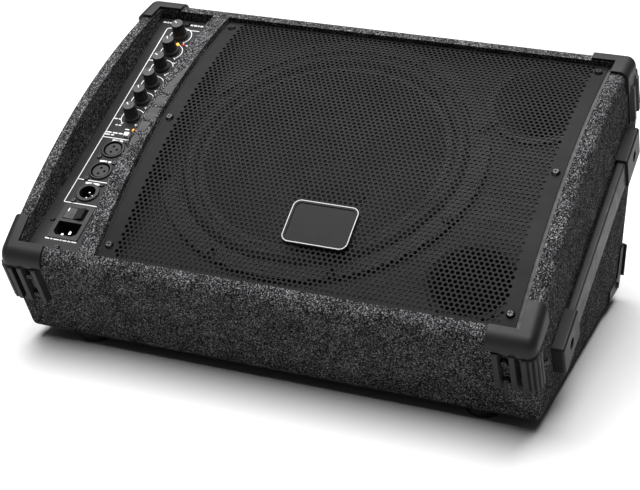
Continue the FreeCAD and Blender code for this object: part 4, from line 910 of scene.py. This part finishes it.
class WEDGE_OT_woofer(Operator):
    """Finish the woofer and make its soft surround and its corrugated spider"""

    bl_idname = "wedge.woofer"
    bl_label = "Woofer"

    def execute(self, context):
        steps = context.scene.wedge.turns
        middle = tuple(face(WOOFER[0], WOOFER[1], BAFFLE_Z))
        wear_finish(["woofer_basket"], paint_finish("basket_paint", (0.02, 0.02, 0.021), 0.45))
        wear_finish(["woofer_gasket"], rubber_finish("gasket_foam", (0.012, 0.012, 0.012), 0.0011))
        wear_finish(["woofer_cone"], paper_finish("cone_paper", (0.020, 0.020, 0.021), middle))
        wear_finish(["woofer_dust_cap"], paper_finish("dust_cap_paper", (0.014, 0.014, 0.015), middle))
        wear_finish(["woofer_magnet"], moulded_finish("ferrite", (0.022, 0.021, 0.021), 0.62, 0.0012))
        zinc = metal_finish("zinc_steel", (0.55, 0.53, 0.46), 0.32)
        wear_finish(["woofer_top_plate", "woofer_pole_piece"], zinc)
        wear_finish(["woofer_voice_coil"], metal_finish("coil_copper", (0.72, 0.33, 0.16), 0.3,
                                                        brushed=(0.05, 0.05, 1.0)))
        self.surround(steps)
        self.spider(steps, middle)
        return {"FINISHED"}

    def surround(self, steps):
        """Half roll between the basket's rim and the cone."""
        base = BAFFLE_Z + 3.0 + SURROUND_GAP

        def height(radius):
            share = (radius - ROLL_INNER) / (ROLL_OUTER - ROLL_INNER)
            if 0.0 < share < 1.0:
                return base + ROLL_RISE * math.sin(math.pi * share) ** 0.75
            return base

        profile = thin_ring(SURROUND_INNER, SURROUND_OUTER, 48, SURROUND_WALL, height)
        moving_ring("surround_roll", profile, "woofer_surround",
                    rubber_finish("surround_rubber", (0.013, 0.013, 0.014), 0.0008), 119.5, 138.0, steps)

    def spider(self, steps, middle):
        """Corrugated cloth disc."""
        base = BAFFLE_Z - 63.4

        def height(radius):
            share = (radius - SPIDER_INNER) / (SPIDER_OUTER - SPIDER_INNER)
            return base + SPIDER_RISE * math.sin(2.0 * math.pi * SPIDER_WAVES * share)

        profile = thin_ring(SPIDER_INNER, SPIDER_OUTER, 96, SPIDER_WALL, height)
        moving_ring("spider_disc", profile, "woofer_spider",
                    cloth_finish("spider_cloth", (0.46, 0.33, 0.13), 0.0012, middle), 34.0, 80.0, steps)


class WEDGE_OT_horn(Operator):
    """Finish the horn, its driver and the port tube"""

    bl_idname = "wedge.horn"
    bl_label = "Horn and port"

    def execute(self, context):
        edge = context.scene.wedge.plastic.edge
        wear_finish(["horn"], moulded_finish("horn_plastic", (0.03, 0.03, 0.031), 0.34, edge))
        wear_finish(["port_tube"], moulded_finish("port_plastic", (0.009, 0.009, 0.0095), 0.42, edge))
        wear_finish(["tweeter_motor"], paint_finish("motor_paint", (0.018, 0.018, 0.019), 0.4))
        wear_finish(["tweeter_diaphragm"], metal_finish("dome_film", (0.5, 0.45, 0.36), 0.28))
        return {"FINISHED"}


# ---------------------------------------------------------------- control panel
KNOB_TOP_Z = PANEL_Z + 17.3
LINE_LEFT = -226.8
LINE_TOP, LINE_BOTTOM = 149.3, -100.7
PANEL_RIGHT = -182.5
LINE_ROUND = 3.0
SCALE_RADIUS = 11.6
SCALE_ENDS = (-52.0, 232.0)
INK_LIFT = 0.06
POINTER_SIZE = (1.05, 3.7, 0.5)
POINTER_REACH, POINTER_SUNK = 2.75, 0.13
ROCKER_MARK, ROCKER_MARK_SIZE = (-213.4, -114.4, -21.3), (1.1, 4.2, 0.2)
# The rocker's lean at rest, in degrees, and how far its paddle rises over how far it reaches.
ROCKER_REST = -8.0
PADDLE_RISE, PADDLE_REACH = 2.0, 9.6

# Plain marks in place of words: from x to x, height on the slope, thickness, lengths in proportion.
LABELS = [
    (-235.0, -224.5, 157.0, 2.0, [2.4, 1.5, 2.0]),
    (-204.0, -189.5, 157.0, 2.2, [2.0, 2.6, 1.4, 2.2]),
    (-214.6, -203.6, -15.0, 2.1, [2.6, 1.6]),
    (-215.2, -203.0, -43.7, 2.1, [3.0, 1.2]),
    (-216.4, -201.8, -73.6, 2.2, [2.4, 2.4]),
    (-217.4, -198.8, -103.7, 2.2, [1.2, 3.4]),
    (-224.4, -191.6, -147.0, 1.5, [2.4, 1.2, 3.0, 1.0, 2.2, 1.6, 2.6]),
    (-226.8, -218.0, 13.8, 1.4, [1.8, 1.4]),
    (-221.0, -214.8, 5.6, 1.4, [1.0, 1.2]),
    (-208.4, -204.0, 1.4, 1.4, [1.0]),
    (-226.4, -208.4, -5.2, 1.5, [2.6, 2.2, 1.8]),
    (-226.4, -216.4, -8.2, 1.5, [2.0, 1.2]),
    (-196.4, -191.4, 126.6, 1.5, [1.2, 1.0]),
]


class InkMesh:
    """Collects thin flat shapes of ink on the panel."""

    def __init__(self):
        self.points = []
        self.faces = []

    def quad(self, corners):
        start = len(self.points)
        self.points += [face(x, y, PANEL_Z + INK_LIFT) for x, y in corners]
        self.faces.append([start, start + 1, start + 2, start + 3])

    def line(self, start, end, width):
        """Straight stroke of a given width."""
        dx, dy = end[0] - start[0], end[1] - start[1]
        length = math.hypot(dx, dy)
        nx, ny = -dy / length * width / 2, dx / length * width / 2
        self.quad([(start[0] - nx, start[1] - ny), (end[0] - nx, end[1] - ny),
                   (end[0] + nx, end[1] + ny), (start[0] + nx, start[1] + ny)])

    def arc(self, centre, radius, first, last, width, steps=26):
        """Round stroke from one angle to another, counter-clockwise, in degrees."""
        corners = []
        for i in range(steps + 1):
            angle = math.radians(first + (last - first) * i / steps)
            corners.append((math.cos(angle), math.sin(angle)))
        for (c0, s0), (c1, s1) in zip(corners, corners[1:]):
            low, high = radius - width / 2, radius + width / 2
            self.quad([(centre[0] + high * c0, centre[1] + high * s0),
                       (centre[0] + high * c1, centre[1] + high * s1),
                       (centre[0] + low * c1, centre[1] + low * s1),
                       (centre[0] + low * c0, centre[1] + low * s0)])

    def dashes(self, first, last, y, height, lengths, gap=0.55):
        """A row of short plain bars that stands where a label would."""
        total = sum(lengths) + gap * (len(lengths) - 1)
        scale = (last - first) / total
        x = first
        for length in lengths:
            self.line((x, y), (x + length * scale, y), height)
            x += (length + gap) * scale


class WEDGE_OT_panel(Operator):
    """Finish the control panel and print its frame lines, scales and plain marks"""

    bl_idname = "wedge.panel"
    bl_label = "Control panel"

    def execute(self, context):
        settings = context.scene.wedge.print
        wear_finish(["control_panel"], paint_finish("panel_paint", settings.panel, 0.5, 0.0009))
        width = settings.line / MM
        ink = InkMesh()
        self.frame_lines(ink, width)
        self.scales(ink, width)
        for first, last, y, height, lengths in LABELS:
            ink.dashes(first, last, y, height, lengths)
        material = ink_finish(settings.ink)
        obj = mesh_piece("panel_print", ink.points, ink.faces, material)
        apply_modifier(obj, "SOLIDIFY", thickness=0.05 * MM, offset=-1.0)
        settle(obj, material)
        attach(obj, "cabinet")
        mark = add_block("rocker_mark", ROCKER_MARK, ROCKER_MARK_SIZE, 0.05, material, 1)
        self.lay_on_rocker(mark)
        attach(mark, "power_rocker")
        return {"FINISHED"}

    def frame_lines(self, ink, width):
        """The frame round the knobs, open where a label stands in it, and its cross lines."""
        ink.line((LINE_LEFT, LINE_BOTTOM), (LINE_LEFT, LINE_TOP - LINE_ROUND), width)
        ink.arc((LINE_LEFT + LINE_ROUND, LINE_TOP - LINE_ROUND), LINE_ROUND, 90.0, 180.0, width, 6)
        ink.line((LINE_LEFT + LINE_ROUND, LINE_TOP), (-219.5, LINE_TOP), width)
        ink.line((-205.0, LINE_TOP), (-190.8, LINE_TOP), width)
        for y, start in ((99.8, -200.0), (-12.2, LINE_LEFT), (-70.2, LINE_LEFT), (LINE_BOTTOM, LINE_LEFT)):
            ink.line((start, y), (PANEL_RIGHT - 5.5, y), width)
        ink.line((LINE_LEFT, 99.8), (-220.5, 99.8), width)

    def scales(self, ink, width):
        """An arc round each knob, with a short stroke at each of its ends."""
        for i in range(KNOB_COUNT):
            x, y = FIRST_KNOB[0], FIRST_KNOB[1] - KNOB_PITCH * i
            ink.arc((x, y), SCALE_RADIUS, *SCALE_ENDS, width * 0.9)
            for end in SCALE_ENDS:
                angle = math.radians(end)
                c, s = math.cos(angle), math.sin(angle)
                ink.line((x + (SCALE_RADIUS - 1.2) * c, y + (SCALE_RADIUS - 1.2) * s),
                         (x + (SCALE_RADIUS + 1.8) * c, y + (SCALE_RADIUS + 1.8) * s), width)

    def lay_on_rocker(self, mark):
        """Turns the mark to the paddle's own slope."""
        joint = JOINTS["power_rocker_tip"]
        pivot = Vector(joint["pos_m"])
        lean = math.radians(ROCKER_REST) + math.atan2(PADDLE_RISE, PADDLE_REACH)
        turn = Matrix.Translation(pivot) @ Matrix.Rotation(lean, 4, UP) @ Matrix.Translation(-pivot)
        mark.data.transform(turn)


class WEDGE_OT_knobs(Operator):
    """Finish the knobs and set a white pointer line in the top of each"""

    bl_idname = "wedge.knobs"
    bl_label = "Knobs"

    def execute(self, context):
        settings = context.scene.wedge
        names = [f"knob_{i + 1}" for i in range(KNOB_COUNT)]
        # The knobs' edges and flutes are painted much paler (3.4): mostly a painted highlight along the
        # flutes, with some wear.
        wear_finish(names, moulded_finish("knob_plastic", settings.plastic.knob, 0.42, 0.0009,
                                          grain=0.0005, relief=0.00004, wear_and_highlight=3.4))
        ink = ink_finish(settings.print.ink)
        for i in range(KNOB_COUNT):
            self.pointer(i, ink)
        return {"FINISHED"}

    def pointer(self, index, material):
        """White line in the groove of one knob's top, turned to where the knob rests."""
        x, y = FIRST_KNOB[0], FIRST_KNOB[1] - KNOB_PITCH * index
        place = (x, y + POINTER_REACH, KNOB_TOP_Z - POINTER_SUNK)
        obj = add_block(f"pointer_{index + 1}", place, POINTER_SIZE, 0.12, material, 2)
        centre = face(x, y, 0.0)
        spin = Matrix.Rotation(math.radians(POINTER_ANGLES[index]), 4, OUT)
        obj.data.transform(Matrix.Translation(centre) @ spin @ Matrix.Translation(-centre))
        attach(obj, f"knob_body_{index + 1}")


LAMPS = {"lamp_yellow": ((-205.3, 126.6), (0.90, 0.46, 0.04), 1.6),
         "lamp_red": ((-198.9, 126.6), (0.42, 0.012, 0.01), 0.25),
         "lamp_amber": ((-199.1, 1.0), (1.0, 0.30, 0.02), 1.2)}
LAMP_RADIUS, COLLAR_RADIUS = 1.5, 1.8
LAMP_BACK, COLLAR_FRONT = PANEL_Z - 6.5, PANEL_Z - 5.3
LAMP_PROUD = 0.5


class WEDGE_OT_lamps(Operator):
    """Make the three coloured indicator lamps"""

    bl_idname = "wedge.lamps"
    bl_label = "Indicator lamps"

    def execute(self, context):
        count = 10
        for name, ((x, y), colour, glow) in LAMPS.items():
            profile = [(0.0, LAMP_BACK), (COLLAR_RADIUS, LAMP_BACK),
                       (COLLAR_RADIUS, COLLAR_FRONT), (LAMP_RADIUS, COLLAR_FRONT)]
            for i in range(count + 1):
                angle = math.pi / 2 * i / count
                profile.append((LAMP_RADIUS * math.cos(angle),
                                PANEL_Z + LAMP_PROUD + LAMP_RADIUS * math.sin(angle)))
            obj = spun_piece(name, profile, (x, y), lens_finish(name + "_lens", colour, glow), 32)
            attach(obj, "cabinet")
            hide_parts("indicator_lamps")
        return {"FINISHED"}


class WEDGE_OT_connectors(Operator):
    """Finish the connectors, the mains inlet, the rocker and the push button"""

    bl_idname = "wedge.connectors"
    bl_label = "Connectors and switches"

    def execute(self, context):
        edge = 0.0004
        wear_finish(["xlr_shells"], moulded_finish("connector_shell", (0.006, 0.006, 0.0065), 0.38, edge))
        wear_finish(["xlr_inserts"], moulded_finish("insert_plastic", (0.014, 0.014, 0.015), 0.5, edge))
        wear_finish(["connector_contacts"], metal_finish("contact_silver", (0.62, 0.61, 0.58), 0.26,
                                                         tarnish=0.15))
        wear_finish(["inlet_module"], moulded_finish("inlet_plastic", (0.0065, 0.0065, 0.007), 0.42, edge))
        wear_finish(["rocker"], moulded_finish("rocker_plastic", (0.009, 0.009, 0.0095), 0.36, edge))
        wear_finish(["push_button"], moulded_finish("button_plastic", (0.55, 0.56, 0.56), 0.35, edge,
                                                    wear_and_highlight=1.1))
        return {"FINISHED"}


class WEDGE_OT_electronics(Operator):
    """Finish the amplifier behind the panel"""

    bl_idname = "wedge.electronics"
    bl_label = "Amplifier"

    def execute(self, context):
        wear_finish(["amp_chassis"], metal_finish("chassis_steel", (0.56, 0.57, 0.57), 0.36))
        wear_finish(["potentiometers"], metal_finish("pot_metal", (0.5, 0.5, 0.5), 0.34))
        wear_finish(["circuit_board"], board_finish())
        wear_finish(["transformer"], cloth_finish("transformer_wrap", (0.55, 0.42, 0.10), 0.003))
        wear_finish(["heat_sink"], metal_finish("sink_aluminium", (0.62, 0.62, 0.63), 0.35,
                                                brushed=(1.0, 0.05, 1.0)))
        return {"FINISHED"}


# ---------------------------------------------------------------- floor, light, camera
LIGHT_PLACE, LIGHT_AIM = (-0.35, 0.2, 2.4), (-0.35, 0.2, 0.0)
LIGHT_SIZE = (2.6, 3.2)
LIGHT_POWER = 250.0
WORLD_LIGHT = 0.06
FLOOR_SIZE = 30.0
SENSOR_WIDTH = 36.0
VIEW_LIMIT = 50.0


def add_area_light(name, place, aim, size, power):
    """Rectangular soft light at place that shines at aim."""
    data = bpy.data.lights.new(name, "AREA")
    data.shape = "RECTANGLE"
    data.size, data.size_y = size
    data.energy = power
    lamp = linked(name, data)
    lamp.location = place
    lamp.rotation_euler = (Vector(aim) - Vector(place)).to_track_quat("-Z", "Y").to_euler()


class WEDGE_OT_stage(Operator):
    """Make the pale floor, the soft light and the camera"""

    bl_idname = "wedge.stage"
    bl_label = "Floor, light and camera"

    def execute(self, context):
        settings = context.scene.wedge.stage
        context.scene.view_settings.view_transform = "Standard"
        self.floor(settings)
        world = bpy.data.worlds.new("studio")
        world.use_nodes = True
        background = world.node_tree.nodes["Background"]
        background.inputs["Color"].default_value = (1.0, 1.0, 1.0, 1.0)
        background.inputs["Strength"].default_value = WORLD_LIGHT
        context.scene.world = world
        add_area_light("overhead", LIGHT_PLACE, LIGHT_AIM, LIGHT_SIZE, LIGHT_POWER)
        self.camera(context, settings)
        return {"FINISHED"}

    def floor(self, settings):
        deselect_all()
        bpy.ops.mesh.primitive_plane_add(size=FLOOR_SIZE, location=(0.0, 0.0, 0.0))
        obj = bpy.context.object
        obj.name = "studio_floor"
        made = Finish("studio_floor", settings.floor, 0.22, {"Specular IOR Level": 0.35})
        made.gloss(made.noise(0.4, 2.0), 0.20, 0.24)
        obj.data.materials.append(made.material)

    def camera(self, context, settings):
        data = bpy.data.cameras.new("camera")
        data.lens = settings.lens
        data.sensor_width = SENSOR_WIDTH
        data.clip_end = VIEW_LIMIT
        eye = linked("camera", data)
        turn, rise = settings.azimuth, settings.elevation
        away = Vector((math.sin(turn) * math.cos(rise), -math.cos(turn) * math.cos(rise), math.sin(rise)))
        eye.location = Vector(settings.target) + settings.distance * away
        eye.rotation_euler = (-away).to_track_quat("-Z", "Y").to_euler()
        context.scene.camera = eye


# ---------------------------------------------------------------- panel and registration
STEPS = [WEDGE_OT_case, WEDGE_OT_protectors, WEDGE_OT_wadding, WEDGE_OT_grille, WEDGE_OT_handle,
         WEDGE_OT_woofer, WEDGE_OT_horn, WEDGE_OT_panel, WEDGE_OT_knobs, WEDGE_OT_lamps,
         WEDGE_OT_connectors, WEDGE_OT_electronics, WEDGE_OT_stage]


class WEDGE_PT_parts(Panel):
    """Lists every step of the wedge in the sidebar"""

    bl_idname = "WEDGE_PT_parts"
    bl_label = "Stage monitor wedge"
    bl_space_type = "VIEW_3D"
    bl_region_type = "UI"
    bl_category = "Wedge"

    def draw(self, context):
        for step in STEPS:
            self.layout.operator(step.bl_idname)


SETTINGS = [CarpetSettings, PlasticSettings, GrilleSettings, PrintSettings, StageSettings, WedgeSettings]


def register():
    for kind in SETTINGS + STEPS + [WEDGE_PT_parts]:
        bpy.utils.register_class(kind)
    bpy.types.Scene.wedge = PointerProperty(type=WedgeSettings)


def unregister():
    del bpy.types.Scene.wedge
    for kind in reversed(SETTINGS + STEPS + [WEDGE_PT_parts]):
        bpy.utils.unregister_class(kind)


def main():
    register()
    for step in STEPS:
        group, name = step.bl_idname.split(".")
        getattr(getattr(bpy.ops, group), name)()


if __name__ == "__main__":
    main()
